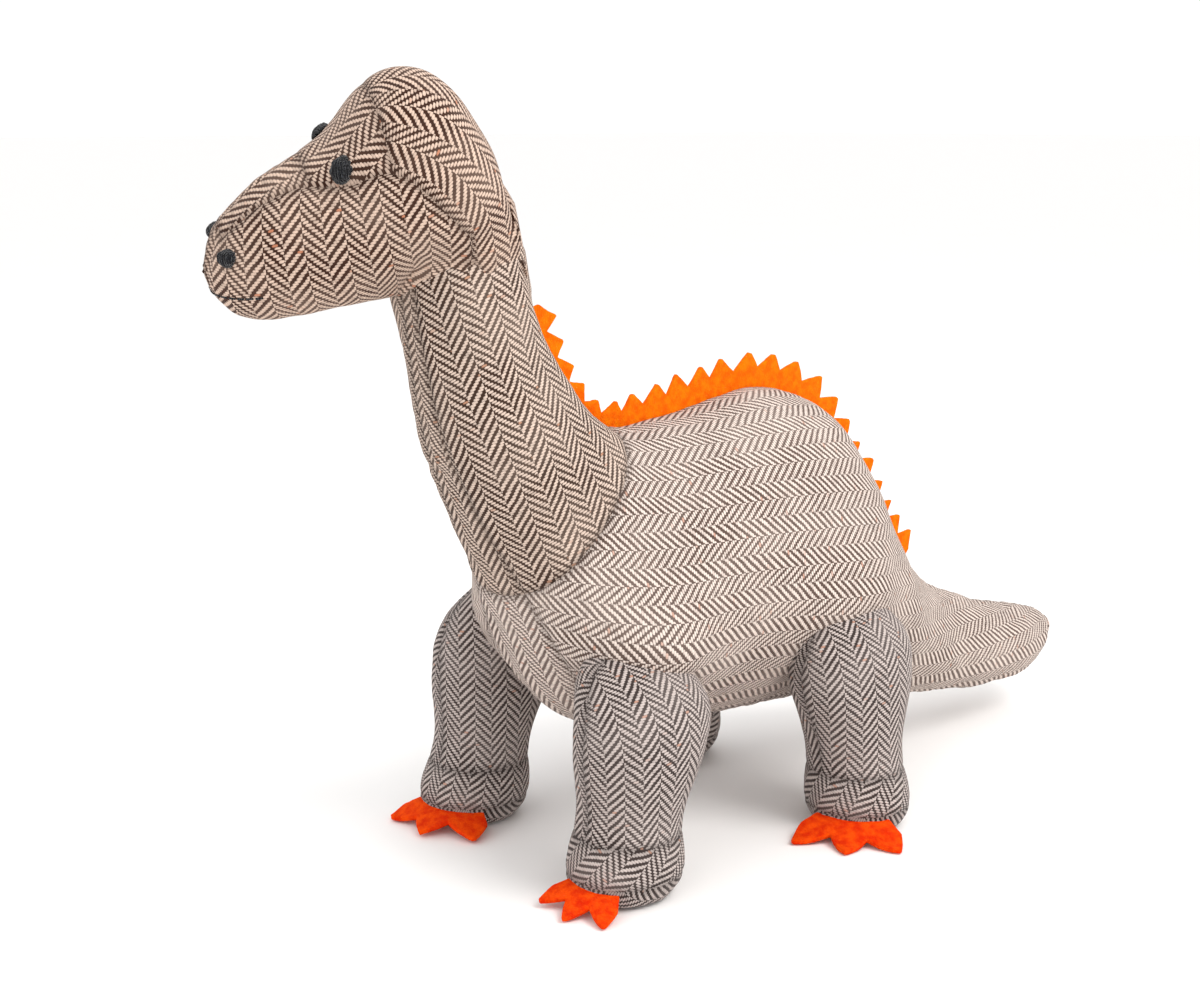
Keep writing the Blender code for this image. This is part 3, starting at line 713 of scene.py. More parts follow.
def tweed(name, dark, light, fleck, end, pick):
    """Broken 2/2 herringbone: light weft floats over two dark warp ends, stepping one end a pick, with
    painted shade at the floats' edges and along the seams.
    """
    s = Shader(name)
    place = s.node("ShaderNodeUVMap", uv_map="cut").outputs["UV"]
    wobble = s.node("ShaderNodeTexNoise", {"Vector": place, "Scale": 160.0, "Detail": 2.0}).outputs["Color"]
    shaken = s.node("ShaderNodeVectorMath", {0: wobble, 1: (0.5, 0.5, 0.5)}, operation="SUBTRACT").outputs[0]
    shaken = s.node("ShaderNodeVectorMath", {0: shaken, "Scale": WEAVE_WOBBLE}, operation="SCALE").outputs[0]
    place = s.node("ShaderNodeVectorMath", {0: place, 1: shaken}, operation="ADD").outputs[0]
    parts = s.node("ShaderNodeSeparateXYZ", {0: place})
    x = s.math("DIVIDE", parts.outputs[0], end)
    y = s.math("DIVIDE", parts.outputs[1], pick)
    stripe = s.math("FLOOR", s.math("DIVIDE", x, ENDS))
    inside = s.sub(x, s.mul(stripe, ENDS))
    turned = s.math("FLOORED_MODULO", stripe, 2.0)
    way = s.sub(1.0, s.mul(turned, 2.0))
    row = s.math("FLOOR", y)
    shifted = s.add(s.mul(way, inside), s.mul(turned, 2.0))
    step = s.math("FLOORED_MODULO", s.sub(shifted, row), REPEAT)
    p = s.math("DIVIDE", s.sub(step, FLOAT_MIDDLE), FLOAT_HALF)
    q = s.sub(s.mul(s.math("FRACT", y), 2.0), 1.0)
    slanted = s.sub(q, s.mul(s.mul(p, way), FLOAT_SLANT))
    bead = s.add(s.math("POWER", s.math("ABSOLUTE", p), 2.6),
                 s.mul(s.math("POWER", s.math("ABSOLUTE", slanted), 2.2), 0.85))
    is_light = s.ramp(bead, *FLOAT_EDGE)
    rise = s.math("SQRT", s.math("MAXIMUM", s.sub(1.3, bead), 0.0))
    warp = s.sub(s.mul(s.math("FRACT", x), 2.0), 1.0)
    warp_rise = s.mul(s.sub(1.0, s.mul(warp, warp)), DARK_RISE)
    weave = s.add(s.mul(rise, is_light), s.mul(warp_rise, s.sub(1.0, is_light)))
    cell = s.node("ShaderNodeCombineXYZ", {
        0: s.math("FLOOR", s.math("DIVIDE", s.sub(shifted, row), REPEAT)), 1: row, 2: stripe,
    }).outputs[0]
    chance = s.node("ShaderNodeTexWhiteNoise", {"Vector": cell}, noise_dimensions="3D").outputs["Value"]
    fibre = s.noise(place, 2600.0, 3.0)
    patch = s.noise(place, 28.0, 3.0)
    light_yarn = s.mix(s.ramp(chance, 0.55, 1.0), light, shade(light, 0.80))
    light_yarn = s.mix(s.ramp(chance, FLECK_CHANCE, 0.0), light_yarn, fleck)
    dark_yarn = s.mix(s.noise(place, 420.0, 2.0), shade(dark, 0.55), shade(dark, 1.5))
    # painted shade: the light floats darken towards their edges, as if shaded by the yarns beside them
    light_yarn = s.mix(s.mul(s.ramp(bead, 0.25, 1.25), 0.42), light_yarn, dark)
    cloth = s.mix(is_light, dark_yarn, light_yarn)
    cloth = s.mix(s.mul(s.ramp(fibre, 0.62, 0.25), 0.30), cloth, dark)
    cloth = s.mix(s.mul(s.ramp(patch, 0.35, 0.75), 0.16), cloth, light)
    # painted shade: the cloth is darkened towards the seams by the seam weight, as if their grooves were in
    # shade
    seam = s.node("ShaderNodeAttribute", attribute_name="seam").outputs["Fac"]
    cloth = s.mix(s.mul(seam, 0.42), cloth, shade(dark, 0.35))
    s.set(Base_Color=cloth, Roughness=0.92, Specular_IOR_Level=0.12, Sheen_Weight=0.08, Sheen_Roughness=0.5)
    height = s.add(weave, s.mul(fibre, 0.5))
    s.bump(height, WEAVE_DEPTH)
    return s.material


def felt(name, bright, deep):
    """Pressed wool felt: a cloudy colour with short fibres every way."""
    s = Shader(name)
    place = s.node("ShaderNodeTexCoord").outputs["Object"]
    cloudy = s.noise(place, 230.0, 5.0)
    fine = s.noise(place, 1500.0, 4.0)
    turned = {"Vector": place, "Rotation": (0.6, 0.4, 0.9), "Scale": (1.0, 4.5, 1.0)}
    squeezed = s.node("ShaderNodeMapping", turned)
    hairs = s.noise(squeezed.outputs[0], 700.0, 4.0)
    tint = s.mix(s.ramp(cloudy, 0.30, 0.72), deep, bright)
    pale = shade(bright, 1.5, 0.02)
    tint = s.mix(s.mul(s.ramp(hairs, 0.50, 0.78), 0.45), tint, pale)
    tint = s.mix(s.mul(s.ramp(fine, 0.58, 0.30), 0.35), tint, deep)
    s.set(Base_Color=tint, Roughness=0.95, Specular_IOR_Level=0.08, Sheen_Weight=0.35, Sheen_Roughness=0.45,
          Sheen_Tint=bright)
    s.bump(s.add(s.mul(hairs, 0.8), fine), 0.0005)
    return s.material


def wool(name):
    """Black embroidery wool with a few paler hairs."""
    s = Shader(name)
    place = s.node("ShaderNodeTexCoord").outputs["Object"]
    twist = s.node("ShaderNodeTexWave", {"Vector": place, "Scale": 420.0, "Distortion": 5.0, "Detail": 3.0})
    hairs = s.noise(place, 1900.0, 4.0)
    tint = s.mix(s.ramp(hairs, 0.48, 0.85), colour(15, 15, 18), colour(74, 78, 88))
    s.set(Base_Color=tint, Roughness=0.85, Specular_IOR_Level=0.2, Sheen_Weight=0.25, Sheen_Roughness=0.4)
    s.bump(s.add(twist.outputs["Fac"], hairs), 0.0004)
    return s.material


def paper(name, tone):
    """Plain studio paper, barely mottled."""
    s = Shader(name)
    place = s.node("ShaderNodeTexCoord").outputs["Object"]
    mottle = s.noise(place, 6.0, 3.0)
    s.set(Base_Color=s.mix(mottle, tone, shade(tone, 0.985)), Roughness=0.9, Specular_IOR_Level=0.1)
    return s.material


# dark yarn, light yarn and fleck in 8-bit screen values, and the spacing of ends and picks
YARNS = {
    "head": ((58, 31, 19), (226, 198, 179), (196, 128, 96), 0.00105, 0.00115),
    "neck": ((62, 43, 33), (226, 203, 187), (190, 140, 112), 0.00106, 0.00102),
    "body": ((92, 74, 66), (241, 224, 213), (206, 160, 140), 0.00101, 0.00108),
    "leg": ((61, 51, 48), (209, 195, 189), (196, 150, 130), 0.00099, 0.00100),
}
CLOTH = {name: tweed(f"tweed_{name}", *[colour(*shade) for shade in yarns[:3]], *yarns[3:])
         for name, yarns in YARNS.items()}
CREST_FELT = felt("felt_orange", colour(255, 128, 2), colour(246, 96, 0))
CLAW_FELT = felt("felt_red_orange", colour(255, 84, 4), colour(226, 38, 0))
BLACK_WOOL = wool("wool_black")


# ---------------------------------------------------------------- body and neck
def trunk_keys():
    """Rings along the toy, from inside the head to the tail tip."""
    front = (JOINTS["leg_front_left_swing"] + JOINTS["leg_front_right_swing"]) / 2
    rear = (JOINTS["leg_hind_left_swing"] + JOINTS["leg_hind_right_swing"]) / 2
    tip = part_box("tail_stuffing")[1].y + 0.002
    head, neck, tail = (JOINTS[name] for name in ("head_nod", "neck_bend", "tail_swing"))
    neck_keys = [
        (head + Vector((-0.009, -0.001, 0.006)), tilted(84)),
        (head.lerp(neck, 0.5) + Vector((-0.006, -0.006, 0.004)), tilted(84)),
        (neck + Vector((-0.002, -0.004, 0.008)), tilted(75)),
        (Vector((neck.x, *NECK_SEAM)), tilted(NECK_SEAM_TILT)),
    ]
    body_keys = [
        neck_keys[-1],
        (front + Vector((0, 0.052, 0.056)), tilted(17)),
        (rear + Vector((0, 0.005, 0.048)), tilted(14)),
        (rear + Vector((0, 0.055, 0.022)), tilted(7)),
        (rear + Vector((0, 0.096, -0.009)), tilted(4)),
        (tail, tilted(6)),
        (Vector((tail.x, tip, tail.z - 0.005)), tilted(10)),
    ]
    return neck_keys, body_keys


def two_seams(seam, upper, lower):
    """Columns of a ring whose seams are at its top and at an angle on either side."""
    def columns(ring):
        edge = seam[ring]
        left = [edge * k / upper for k in range(upper)]
        under = [edge + (2 * math.pi - 2 * edge) * k / lower for k in range(lower)]
        right = [2 * math.pi - edge + edge * k / upper for k in range(upper)]
        return left + under + right
    return columns


def make_trunk(neck_keys, body_keys):
    """Body, tail and neck, measured and filled as one, then parted where the neck's panels are sewn on."""
    rings = along(neck_keys, NECK_ROWS) + along(body_keys, 0, spacing=end_spacing(BODY_ROWS + 1))[1:]
    nodes = ["neck_side_left", "neck_side_right", "body_side_left", "body_side_right", "belly_gusset",
             "tail_side_left", "tail_side_right"]
    skin = Skin(rings, ACROSS, nodes, [0.085] * NECK_ROWS + [0.115] * BODY_ROWS, (6, 9))
    belly = np.minimum(skin.seam("belly", math.radians(160)), math.radians(176))
    tail_start = JOINTS["tail_swing"].y - 0.03
    tail_row = min(range(NECK_ROWS, len(rings)), key=lambda k: abs(rings[k][0].y - tail_start))
    belly[tail_row:] = belly[tail_row]
    for k in range(NECK_ROWS):
        belly[k] = math.radians(172 - 10 * max(0.0, (k - 20) / 31))
    seam = smooth_line(list(belly), 10)
    upper, lower = TRUNK_COLUMNS

    def panel(ring, column):
        kind = "left" if column < upper else "under" if column < upper + lower else "right"
        return ("neck_" if ring < NECK_ROWS - 1 else "body_") + kind

    item, names = make_mesh("trunk_cloth", skin, two_seams(seam, upper, lower), panel, (0.1, 0.5),
                            lambda ring: CRUST + 0.0012 * max(0, 12 - ring))
    along_back, along_neck = Vector((0, 1, -0.06)), Vector((0, -0.26, 0.97))
    grains = {name: along_neck if name.startswith("neck") else along_back for name in names}
    finish_skin(item, names, grains, nodes, swell_haunches, strength=0.6, seed=0.1)
    centre, up = rings[NECK_ROWS - 1]
    ahead = up.cross(ACROSS)
    if ahead.z < 0:
        ahead.negate()
    neck = part_of(item, "neck_cloth", {names.index(n) for n in names if n.startswith("neck")}, -ahead)
    body = part_of(item, "body_cloth", {names.index(n) for n in names if n.startswith("body")}, ahead)
    bpy.data.objects.remove(item)
    neck.data.materials.append(CLOTH["neck"])
    body.data.materials.append(CLOTH["body"])
    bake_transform(body)
    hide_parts("body_side_left", "body_side_right", "belly_gusset", "body_stuffing",
                "tail_side_left", "tail_side_right", "tail_stuffing")
    span = (centre + ahead * 0.002, centre + ahead * NECK_BLEND)
    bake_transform(neck)
    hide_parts("neck_side_left", "neck_side_right", "neck_stuffing")
    return body, neck, span


def part_of(item, name, numbers, inward):
    """The faces of some panels as a piece of its own, closed by a flap turned in at its open end."""
    shape = bmesh.new()
    shape.from_mesh(item.data)
    panel = shape.faces.layers.int["panel"]
    bmesh.ops.delete(shape, geom=[f for f in shape.faces if f[panel] not in numbers], context="FACES")
    edges = [e for e in shape.edges if e.is_boundary]
    rim = {v for e in edges for v in e.verts}
    middle_point = sum((v.co for v in rim), Vector()) / len(rim)
    for shrink, depth in FLAP:
        made = bmesh.ops.extrude_edge_only(shape, edges=edges)["geom"]
        moved = {g for g in made if isinstance(g, bmesh.types.BMVert)}
        edges = [g for g in made if isinstance(g, bmesh.types.BMEdge) and set(g.verts) <= moved]
        for v in moved:
            v.co = v.co.lerp(middle_point, shrink) + inward * depth
    bmesh.ops.edgeloop_fill(shape, edges=edges)
    bmesh.ops.recalc_face_normals(shape, faces=shape.faces[:])
    mesh = bpy.data.meshes.new(name)
    shape.to_mesh(mesh)
    shape.free()
    mesh.shade_smooth()
    return placed(name, mesh)


def swell_haunches(item):
    """Bring the flanks out over the tops of the legs, where the leg panels are sewn on."""
    middle_x = JOINTS["neck_bend"].x
    for leg in LEGS:
        hinge = JOINTS[f"leg_{leg}_swing"]
        side = 1 if leg.endswith("left") else -1
        for v in item.data.vertices:
            out = (v.co.x - middle_x) * side
            if out > 0:
                reach_y = (v.co.y - hinge.y) / HAUNCH_LENGTH
                reach_z = (v.co.z - hinge.z - HAUNCH_RISE) / HAUNCH_HEIGHT
                share = math.exp(-reach_y ** 2 - reach_z ** 2) * min(1.0, out / 0.03)
                v.co.x += side * HAUNCH[leg.split("_")[0]] * share
    for v in item.data.vertices:
        v.co += v.normal * NECK_SWELL * clamp((v.co.z - NECK_SEAM[1]) / 0.02)
        away = [(v.co[k + 1] - SLIM_PLACE[k]) / SLIM_SIZE[k] for k in (0, 1)]
        out = (v.co.x - middle_x) / 0.03
        v.co.x -= SLIM * math.exp(-away[0] ** 2 - away[1] ** 2) * max(-1.0, min(1.0, out))


def end_spacing(count, near_start=0.0, near_end=0.5):
    """Shares along a line, closer together towards ends that close to a point."""
    shares = []
    for k in range(count):
        t = k / (count - 1)
        curved = (1 - math.cos(math.pi * t)) / 2
        weight = near_start * (1 - t) + near_end * t
        shares.append(t + (curved - t) * weight)
    return shares


# ---------------------------------------------------------------- head
def head_frame():
    """Forward, left and up axes of the head, from its level mouth and its two eyes."""
    mouth = np.array([v.co for v in frame["nodes"]["mouth_stitch"].data.vertices])
    _, _, axes = np.linalg.svd(mouth - mouth.mean(0))
    up = Vector(axes[2])
    if up.z < 0:
        up.negate()
    left = middle("eye_left") - middle("eye_right")
    left = (left - up * left.dot(up)).normalized()
    return left.cross(up).normalized(), left, up


def make_head():
    """Head: two cheeks, and a gusset over the muzzle, forehead and crown."""
    forward, left, up = head_frame()
    points = [v.co for node in ("cheek_left", "cheek_right", "crown_gusset")
              for v in frame["nodes"][node].data.vertices]
    nose = max(points, key=lambda p: p.dot(forward))
    back = min(points, key=lambda p: p.dot(forward))
    centre = middle("eye_left", "eye_right")
    ends = [tip + left * (centre.dot(left) - tip.dot(left)) for tip in (back, nose)]
    ends[0] += forward * HEAD_INSET
    ends[1] -= forward * HEAD_INSET
    rings = along([(ends[0], up), (ends[0].lerp(ends[1], 0.5), up), (ends[1], up)], 0,
                  spacing=end_spacing(HEAD_ROWS, 0.95, 0.95))
    foot = middle("neck_stuffing")
    foot = Vector((foot.x, JOINTS["head_nod"].y, JOINTS["head_nod"].z - NAPE_DROP))
    across_neck = Vector((0, NAPE_TILT, 1)).normalized()
    covers, neck_covers = ["cheek_left", "cheek_right", "crown_gusset"], ["neck_side_left", "neck_side_right"]
    skin = Skin(rings, left, covers, 0.085, (3, 4), neck=(neck_covers, foot, across_neck))
    upper, lower = HEAD_COLUMNS
    span = (ends[1] - ends[0]).dot(forward)
    eye_share = (centre - ends[0]).dot(forward) / span
    shares = [(c - ends[0]).dot(forward) / span for c, _ in rings]
    dip = [math.radians(EYE_DIP) * math.exp(-((share - eye_share) / 0.11) ** 2) for share in shares]
    edge = skin.seam("cheek", math.radians(60), 3)
    seam = np.clip(edge, math.radians(20), math.radians(150)) + np.array(dip)

    cheek_back = min(v.co.dot(forward) for v in frame["nodes"]["cheek_left"].data.vertices)
    cheek_share = (cheek_back - ends[0].dot(forward)) / span

    def panel(ring, column):
        share = shares[ring]
        if share < cheek_share:
            return "crown"
        if share < MUZZLE_END and (column < upper or column >= upper + lower):
            if share > eye_share + 0.10:
                return "muzzle_top"
            return "forehead" if share > eye_share - 0.15 else "crown"
        return "cheek_left" if column < upper + lower // 2 else "cheek_right"

    item, names = make_mesh("head_cloth", skin, two_seams(seam, upper, lower), panel, (0.5, 0.5))
    lean = (up + forward * 0.9).normalized()
    grains = {"cheek_left": up, "cheek_right": up, "muzzle_top": forward, "forehead": up, "crown": lean}

    under = Covers(neck_covers).tree

    def draw_in(item):
        """Set the head on its neck: the cloth closes in on the neck towards its lower edge."""
        for v in item.data.vertices:
            rise = smooth(((v.co - foot).dot(across_neck) - 0.002) / NAPE_REACH)
            place, normal, _, _ = under.find_nearest(v.co, 0.014)
            moved = v.co + (Vector(HEAD_SHIFT) + v.normal * HEAD_SWELL) * rise
            if place is not None:
                moved = (place + normal * 0.0010).lerp(moved, rise)
            behind = clamp((moved.y - foot.y) / 0.025)
            above = (moved.z - JOINTS["head_nod"].z + 0.009) / 0.015
            moved.y -= NAPE_HOLLOW * behind * math.exp(-above ** 2)
            v.co = moved

    finish_skin(item, names, grains, covers + neck_covers, draw_in, strength=0.34, seed=0.7, tightness=0.015)
    item.data.materials.append(CLOTH["head"])
    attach(item, "head")
    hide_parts("cheek_left", "cheek_right", "crown_gusset", "head_stuffing")
    return item


# ---------------------------------------------------------------- legs
def make_leg(leg):
    """One leg: outer and inner panels, foot band and sole."""
    side = 1 if leg.endswith("left") else -1
    hinge = JOINTS[f"leg_{leg}_swing"]
    sole = middle(f"sole_{leg}")
    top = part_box(f"leg_outer_{leg}")[1].z
    foot = Vector((sole.x, sole.y, 0))
    peak = Vector((hinge.x + side * LEG_OUT, hinge.y, top - LEG_INSET))
    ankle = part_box(f"foot_cover_{leg}")[1].z
    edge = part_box(f"foot_cover_{leg}")[0].z
    heights = [top - LEG_INSET - (top - LEG_INSET - ankle) * s for s in end_spacing(LEG_ROWS, 0.6, 0.0)]
    heights += [ankle - (ankle - edge) * k / BAND_ROWS for k in range(1, BAND_ROWS + 1)]
    heights += [edge * (1 - k / 4) + SOLE_LIFT * k / 4 for k in range(1, 5)]
    rings = []
    for z in heights:
        if z > hinge.z:
            centre = hinge.lerp(peak, (z - hinge.z) / (peak.z - hinge.z))
        else:
            centre = hinge.lerp(foot, (hinge.z - z) / hinge.z)
        rings.append((Vector((centre.x, centre.y, z)), Vector((0, 1, 0))))
    covers = [f"leg_outer_{leg}", f"leg_inner_{leg}", f"foot_cover_{leg}", f"sole_{leg}"]
    skin = Skin(rings, ACROSS, covers, 0.06, (3, 4), 64)

    def panel(ring, column):
        if ring >= LEG_ROWS - 1 + BAND_ROWS:
            return "sole"
        if ring >= LEG_ROWS - 1:
            return "foot"
        return "half_a" if column < LEG_COLUMNS // 2 else "half_b"

    turns = [2 * math.pi * k / LEG_COLUMNS for k in range(LEG_COLUMNS)]
    item, names = make_mesh(f"leg_cloth_{leg}", skin, lambda ring: turns, panel, (0.45, 0.0))
    cut_foot(item, names)

    def lean_in(item):
        """Lean the leg's top in to the flank, widen it there, and stand its foot in its place."""
        for v in item.data.vertices:
            rise = max(0.0, (v.co.z - hinge.z) / (top - hinge.z))
            above = smooth((v.co.z - ankle) / (hinge.z - ankle))
            v.co.x -= side * LEAN[leg.split("_")[0]] * rise ** LEAN_CURVE
            v.co.y = hinge.y + (v.co.y - hinge.y) * (1 + LEG_SPREAD * above)
            v.co.z += LEG_RISE.get(leg, 0.0) * rise
            v.co += Vector((*FOOT_SHIFT[leg], 0)) * (1 - 0.6 * above)

    slant = tilted(FOOT_GRAIN[leg])
    grains = {"half_a": UP, "half_b": UP, "foot": slant, "foot_back": slant, "sole": Vector((0, 1, 0))}
    finish_skin(item, names, grains, covers, lean_in, strength=0.3, seed=1.0 + 0.3 * LEGS.index(leg),
                pressure=2.5, tightness=0.006)
    item.data.materials.append(CLOTH["leg"])
    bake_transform(item)
    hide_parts(*covers, f"stuffing_{leg}")
    return item


def cut_foot(item, names):
    """Split the foot band's ring in two, so that it can be laid out flat."""
    mesh = item.data
    panel = mesh.attributes["panel"].data
    number = names.index("foot")
    names.append("foot_back")
    for face in mesh.polygons:
        if panel[face.index].value == number and face.index % LEG_COLUMNS >= LEG_COLUMNS * 3 // 4:
            panel[face.index].value = len(names) - 1


# ---------------------------------------------------------------- felt
def tooth_rise(inside, apex):
    """Height of a tooth, as a share, at a share of its width."""
    return inside / apex if inside < apex else (1 - inside) / (1 - apex)


def make_crest(name, path, tallest, dip_first, seed):
    """Toothed felt strip standing on a line of (point, outward direction)."""
    rng = np.random.default_rng(seed)
    lengths = lengths_along(path)
    total = lengths[-1]
    teeth = max(1, round(total / TOOTH_PITCH))
    tall = rng.uniform(0.88, 1.08, teeth)
    lean = rng.uniform(-0.06, 0.06, teeth) + 0.10
    columns, rows = teeth * 12 + 1, 7
    vertices, heights = [], []
    for c in range(columns):
        t = c / (columns - 1)
        s = t * total
        index = min(max(k for k in range(len(lengths)) if lengths[k] <= s + 1e-9), len(path) - 2)
        part = (s - lengths[index]) / (lengths[index + 1] - lengths[index])
        root = path[index][0].lerp(path[index + 1][0], part)
        before, after = path[max(index - 3, 0)], path[min(index + 4, len(path) - 1)]
        run = (after[0] - before[0]).normalized()
        up = run.cross(ACROSS).normalized()
        if up.dot(path[index][1]) < 0:
            up.negate()
        tooth = min(int(t * teeth), teeth - 1)
        inside = t * teeth - tooth
        rise = tooth_rise(inside, 0.5 + lean[tooth])
        away = s if dip_first else total - s
        share = tallest * min(1.0, DIP_SHARE + (1 - DIP_SHARE) * away / DIP_REACH)
        height = share * (CREST_BASE + CREST_TOOTH * rise * tall[tooth])
        sway = 0.0011 * noise.noise(Vector((s / 0.021, seed, 0)))
        for r in range(rows):
            up_share = r / (rows - 1)
            spot = root + up * (-CREST_ROOT + (height + CREST_ROOT) * up_share)
            spot.x += sway * up_share ** 1.5 * 1.8
            vertices.append(spot)
        heights.append(height)
    item = felt_piece(name, vertices, rows, CREST_FELT, seed)
    area = total * (sum(heights) / len(heights) + CREST_ROOT)
    return item, (max(heights) + CREST_ROOT, total, area)


def felt_piece(name, vertices, rows, material, seed):
    """Felt of even thickness on a grid of points, with soft edges and a slightly uneven face."""
    columns = len(vertices) // rows
    faces = [(c * rows + r, c * rows + r + 1, (c + 1) * rows + r + 1, (c + 1) * rows + r)
             for c in range(columns - 1) for r in range(rows - 1)]
    item = meshed(name, vertices, faces)
    body = item.modifiers.new("felt", "SOLIDIFY")
    body.thickness = FELT
    body.offset = 0.0
    soft = item.modifiers.new("edge", "BEVEL")
    soft.width = FELT * 0.22
    soft.segments = 2
    soft.limit_method = "ANGLE"
    soft.angle_limit = math.radians(50)
    shown = item.evaluated_get(bpy.context.evaluated_depsgraph_get())
    made = bpy.data.meshes.new_from_object(shown)
    item.modifiers.clear()
    item.data = made
    for v, normal in zip(made.vertices, [v.normal.copy() for v in made.vertices]):
        v.co += normal * 0.00016 * noise.noise(v.co / 0.0016 + Vector((seed, 0, 0)))
    made.materials.append(material)
    made.shade_smooth()
    return item


def make_claws(leg, skin_item):
    """Three-pointed felt strip from the front of the sole seam."""
    sole = middle(f"sole_{leg}")
    claws = middle(f"claws_{leg}")
    facing = math.atan2(claws.x - sole.x, -(claws.y - sole.y))
    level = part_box(f"foot_cover_{leg}")[0].z
    tree = surface(skin_item)
    columns, rows = 49, 8
    vertices = []
    half, turn, seed, size = CLAWS[leg]
    sole = sole + Vector((*FOOT_SHIFT[leg], 0))
    facing += math.radians(turn)
    level = level - CLAW_SINK
    for c in range(columns):
        t = c / (columns - 1)
        angle = facing + math.radians(half * (2 * t - 1))
        out = Vector((math.sin(angle), -math.cos(angle), 0))
        centre = Vector((sole.x, sole.y, level))
        place, _, _, _ = tree.ray_cast(centre + out * 0.06, -out, 0.06)
        tooth = min(int(t * 3), 2)
        inside = t * 3 - tooth
        rise = tooth_rise(inside, CLAW_APEX[tooth])
        reach = size * (CLAW_BASE + CLAW_TOOTH * rise * (1.0 - 0.12 * math.sin(5 * tooth + 7 * seed)))
        for r in range(rows):
            share = r / (rows - 1)
            run = -CLAW_ROOT + (reach + CLAW_ROOT) * share
            spot = place + out * run * 0.93
            droop = 0.34 * max(run, 0) + 0.0012 * math.sin(3 * angle + 9 * seed) * share
            spot.z = max(level + 0.0006 - droop, FELT / 2 + 0.0006)
            vertices.append(spot)
    item = felt_piece(f"claw_felt_{leg}", vertices, rows, CLAW_FELT, 3.0 + seed)
    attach(item, f"leg_{leg}")
    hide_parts(f"claws_{leg}")
    return item


# ---------------------------------------------------------------- wool
def strand(points, radius, sides=7):
    """Closed tube along a list of points, as vertices and faces."""
    vertices, faces = [], []
    for k, point in enumerate(points):
        run = (points[min(k + 1, len(points) - 1)] - points[max(k - 1, 0)]).normalized()
        first = run.orthogonal().normalized() if k == 0 else (first - run * first.dot(run)).normalized()
        second = run.cross(first)
        for j in range(sides):
            angle = 2 * math.pi * j / sides
            vertices.append(point + (first * math.cos(angle) + second * math.sin(angle)) * radius)
    for k in range(len(points) - 1):
        for j in range(sides):
            i = (j + 1) % sides
            faces.append((k * sides + j, k * sides + i, (k + 1) * sides + i, (k + 1) * sides + j))
    faces.append(tuple(reversed(range(sides))))
    faces.append(tuple((len(points) - 1) * sides + j for j in range(sides)))
    return vertices, faces


def join_strands(name, strands, material):
    """One mesh object from several tubes."""
    vertices, faces = [], []
    for points, radius in strands:
        more, quads = strand(points, radius)
        faces += [tuple(k + len(vertices) for k in f) for f in quads]
        vertices += more
    item = meshed(name, vertices, faces)
    item.data.materials.append(material)
    item.data.shade_smooth()
    return item


def make_knot(node, head_item, half_width, half_height, ahead, raised, seed):
    """Satin-stitched wool patch on the head, at a CAD eye or nostril."""
    forward, _, up = head_frame()
    centre = middle(node) + forward * ahead + up * raised
    tree = surface(head_item)
    place, normal, _, _ = tree.find_nearest(centre)
    along_up = (up - normal * up.dot(normal)).normalized()
    across = normal.cross(along_up)
    rng = np.random.default_rng(seed)
    strands = []
    for layer, count in ((0, 9), (1, 8), (2, 5)):
        for k in range(count):
            offset = (k - (count - 1) / 2) / ((count - 1) / 2) * (0.98 - 0.2 * layer)
            reach = half_height * math.sqrt(max(0.06, 1 - offset ** 2)) * (1 - 0.12 * layer)
            slant = rng.uniform(-0.12, 0.12) + 0.25 * (layer - 1)
            points = []
            for step in range(11):
                t = -1 + step / 5
                lift = (0.0004 + 0.0009 * layer) + 0.0011 * (1 - t * t) * (1 - 0.5 * offset ** 2)
                lift -= 0.0016 * max(0.0, abs(t) - 0.8) * 5
                side = offset * half_width * (1 - 0.15 * t * t) + slant * t * half_width * 0.5
                jitter = rng.normal(0, 0.00006)
                points.append(place + along_up * t * reach + across * (side + jitter) + normal * lift)
            strands.append((points, WOOL + rng.uniform(-0.00006, 0.00006)))
    item = join_strands(f"wool_{node}", strands, BLACK_WOOL)
    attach(item, "head")
    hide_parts(node)
    return item


def make_mouth(head_item):
    """Back-stitched line round the muzzle, laid on the head's cloth."""
    forward, left, _ = head_frame()
    corners = np.array([v.co for v in frame["nodes"]["mouth_stitch"].data.vertices])
    centre = Vector(corners.mean(0)) - forward * 0.01
    tree = surface(head_item)
    line = []
    for k in range(61):
        angle = math.radians(-88 + 176 * k / 60)
        out = forward * math.cos(angle) + left * math.sin(angle)
        place, normal, _, _ = tree.ray_cast(centre + out * 0.06, -out, 0.08)
        if place is not None:
            line.append(place + normal * 0.0002)
    strands = [(line[k:k + 4], 0.00042) for k in range(0, len(line) - 4, 4)]
    item = join_strands("wool_mouth", strands, BLACK_WOOL)
    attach(item, "head")
    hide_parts("mouth_stitch")
    return item


# ---------------------------------------------------------------- stage
def area_light(name, place, target, size, power, tint):
    """Soft box aimed at a point."""
    data = bpy.data.lights.new(name, "AREA")
    data.shape = "DISK"
    data.size = size
    data.energy = power
    data.color = tint
    light = placed(name, data)
    light.location = place
    light.rotation_mode = "QUATERNION"
    light.rotation_quaternion = (Vector(target) - Vector(place)).to_track_quat("-Z", "Y")


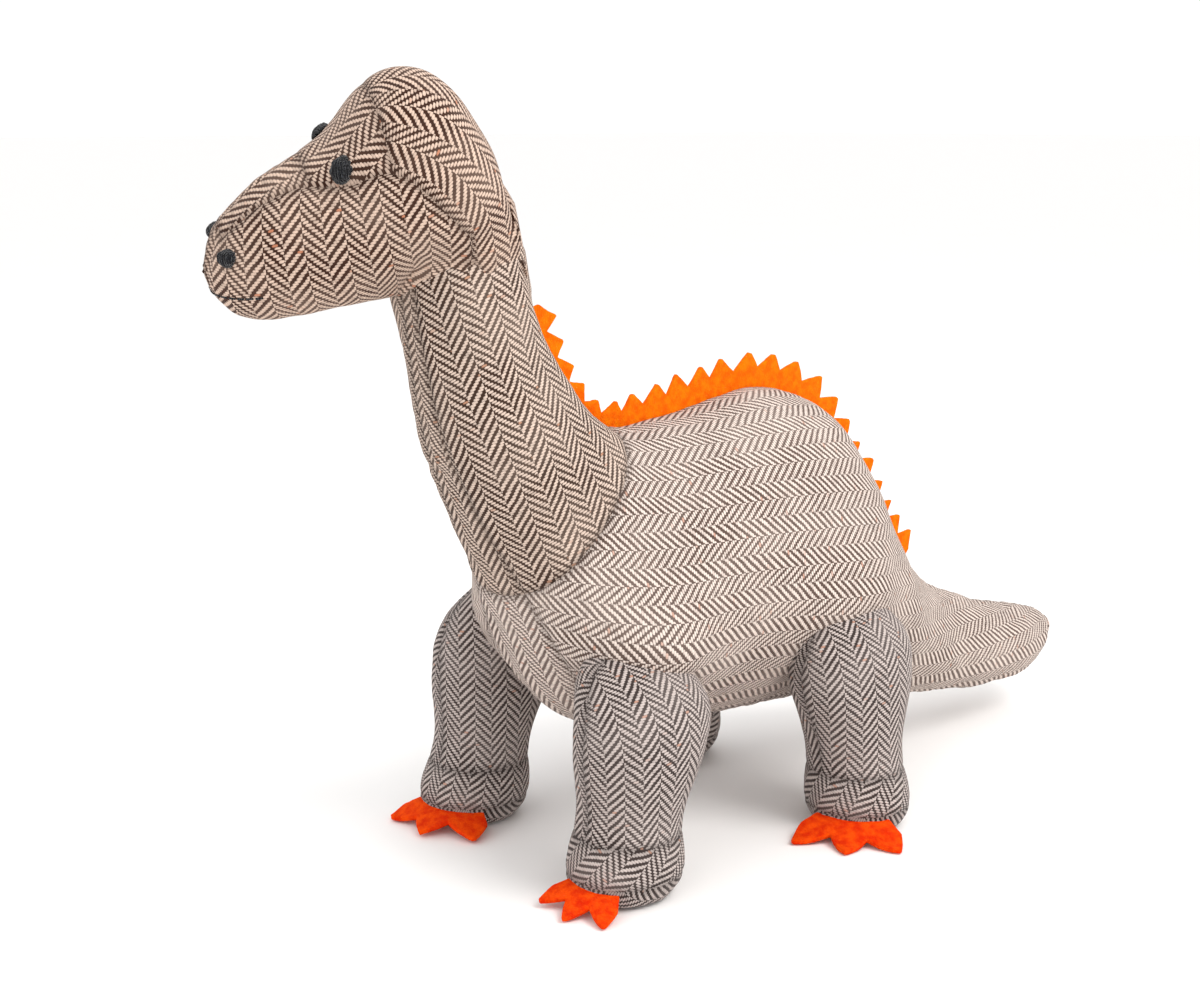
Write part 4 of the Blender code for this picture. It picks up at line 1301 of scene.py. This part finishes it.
def make_stage():
    """White sweep of paper, soft boxes, the world's light and the camera."""
    low, high = CAD_BOX
    centre = (Vector(low) + Vector(high)) / 2
    corners = [(x * FLOOR_REACH, y * FLOOR_REACH, 0) for x, y in ((-1, -1), (1, -1), (1, 1), (-1, 1))]
    floor = meshed("floor", corners, [(0, 1, 2, 3)])
    floor.data.materials.append(paper("studio_paper", colour(*PAPER)))
    for name, (place, size, power, tint) in LIGHTS.items():
        area_light(name, centre + Vector(place), centre, size, power, tint)
    world = bpy.data.worlds.new("studio")
    world.use_nodes = True
    background = world.node_tree.nodes["Background"]
    background.inputs["Color"].default_value = (1, 1, 1, 1)
    background.inputs["Strength"].default_value = WORLD_LIGHT
    scene = bpy.context.scene
    scene.world = world
    scene.view_settings.view_transform = "Standard"
    data = bpy.data.cameras.new("camera")
    data.lens = LENS
    data.sensor_width = SENSOR
    camera = placed("camera", data)
    turn, drop = math.radians(CAMERA_TURN), math.radians(CAMERA_DROP)
    look = Vector((-math.sin(turn) * math.cos(drop), math.cos(turn) * math.cos(drop), -math.sin(drop)))
    camera.location = centre + Vector(CAMERA_PLACE)
    camera.rotation_mode = "QUATERNION"
    camera.rotation_quaternion = look.to_track_quat("-Z", "Y")
    scene.camera = camera


# ---------------------------------------------------------------- assembly
def main():
    """Make the stage and every piece."""
    make_stage()
    neck_keys, body_keys = trunk_keys()
    body, neck, span = make_trunk(neck_keys, body_keys)
    head = make_head()
    legs = {leg: make_leg(leg) for leg in LEGS}
    make_crests(body, neck, neck_keys, body_keys)
    for leg in LEGS:
        make_claws(leg, legs[leg])
    for number, side in enumerate(("left", "right")):
        for kind, (*sizes, seed) in KNOTS.items():
            make_knot(f"{kind}_{side}", head, *sizes, seed + number)
    make_mouth(head)


def make_crests(body, neck, neck_keys, body_keys):
    """The crest strips of neck and back, which meet in the dip between them."""
    skins = [surface(neck), surface(body)]
    strips = [Covers([node]).tree for node in ("neck_crest", "back_crest")]
    paths = [[], []]
    for centre, up in along(neck_keys, 240) + along(body_keys, 400)[1:]:
        hits = [tree.ray_cast(centre + up * 0.1, -up, 0.1)[0] for tree in skins]
        hits = [place for place in hits if place is not None]
        if hits:
            place = max(hits, key=lambda hit: (hit - centre).dot(up))
            away = [tree.find_nearest(place)[3] for tree in strips]
            if min(away) < 0.004:
                paths[away.index(min(away))].append((place, up))
    top = paths[0][0][0]
    paths[0] = [step for step in paths[0] if (step[0] - top).length > CREST_START] + [paths[1][0]]
    for name, skin, path, node, tallest, seed in (("crest_felt_back", body, paths[1], "back_crest", 1.0, 5),
                                                  ("crest_felt_neck", neck, paths[0], "neck_crest", 0.84, 9)):
        item, (tall, length, area) = make_crest(name, path, tallest, skin == body, seed)
        if skin == body:
            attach(item, "root")
        else:
            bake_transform(item)
        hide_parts(node)


main()
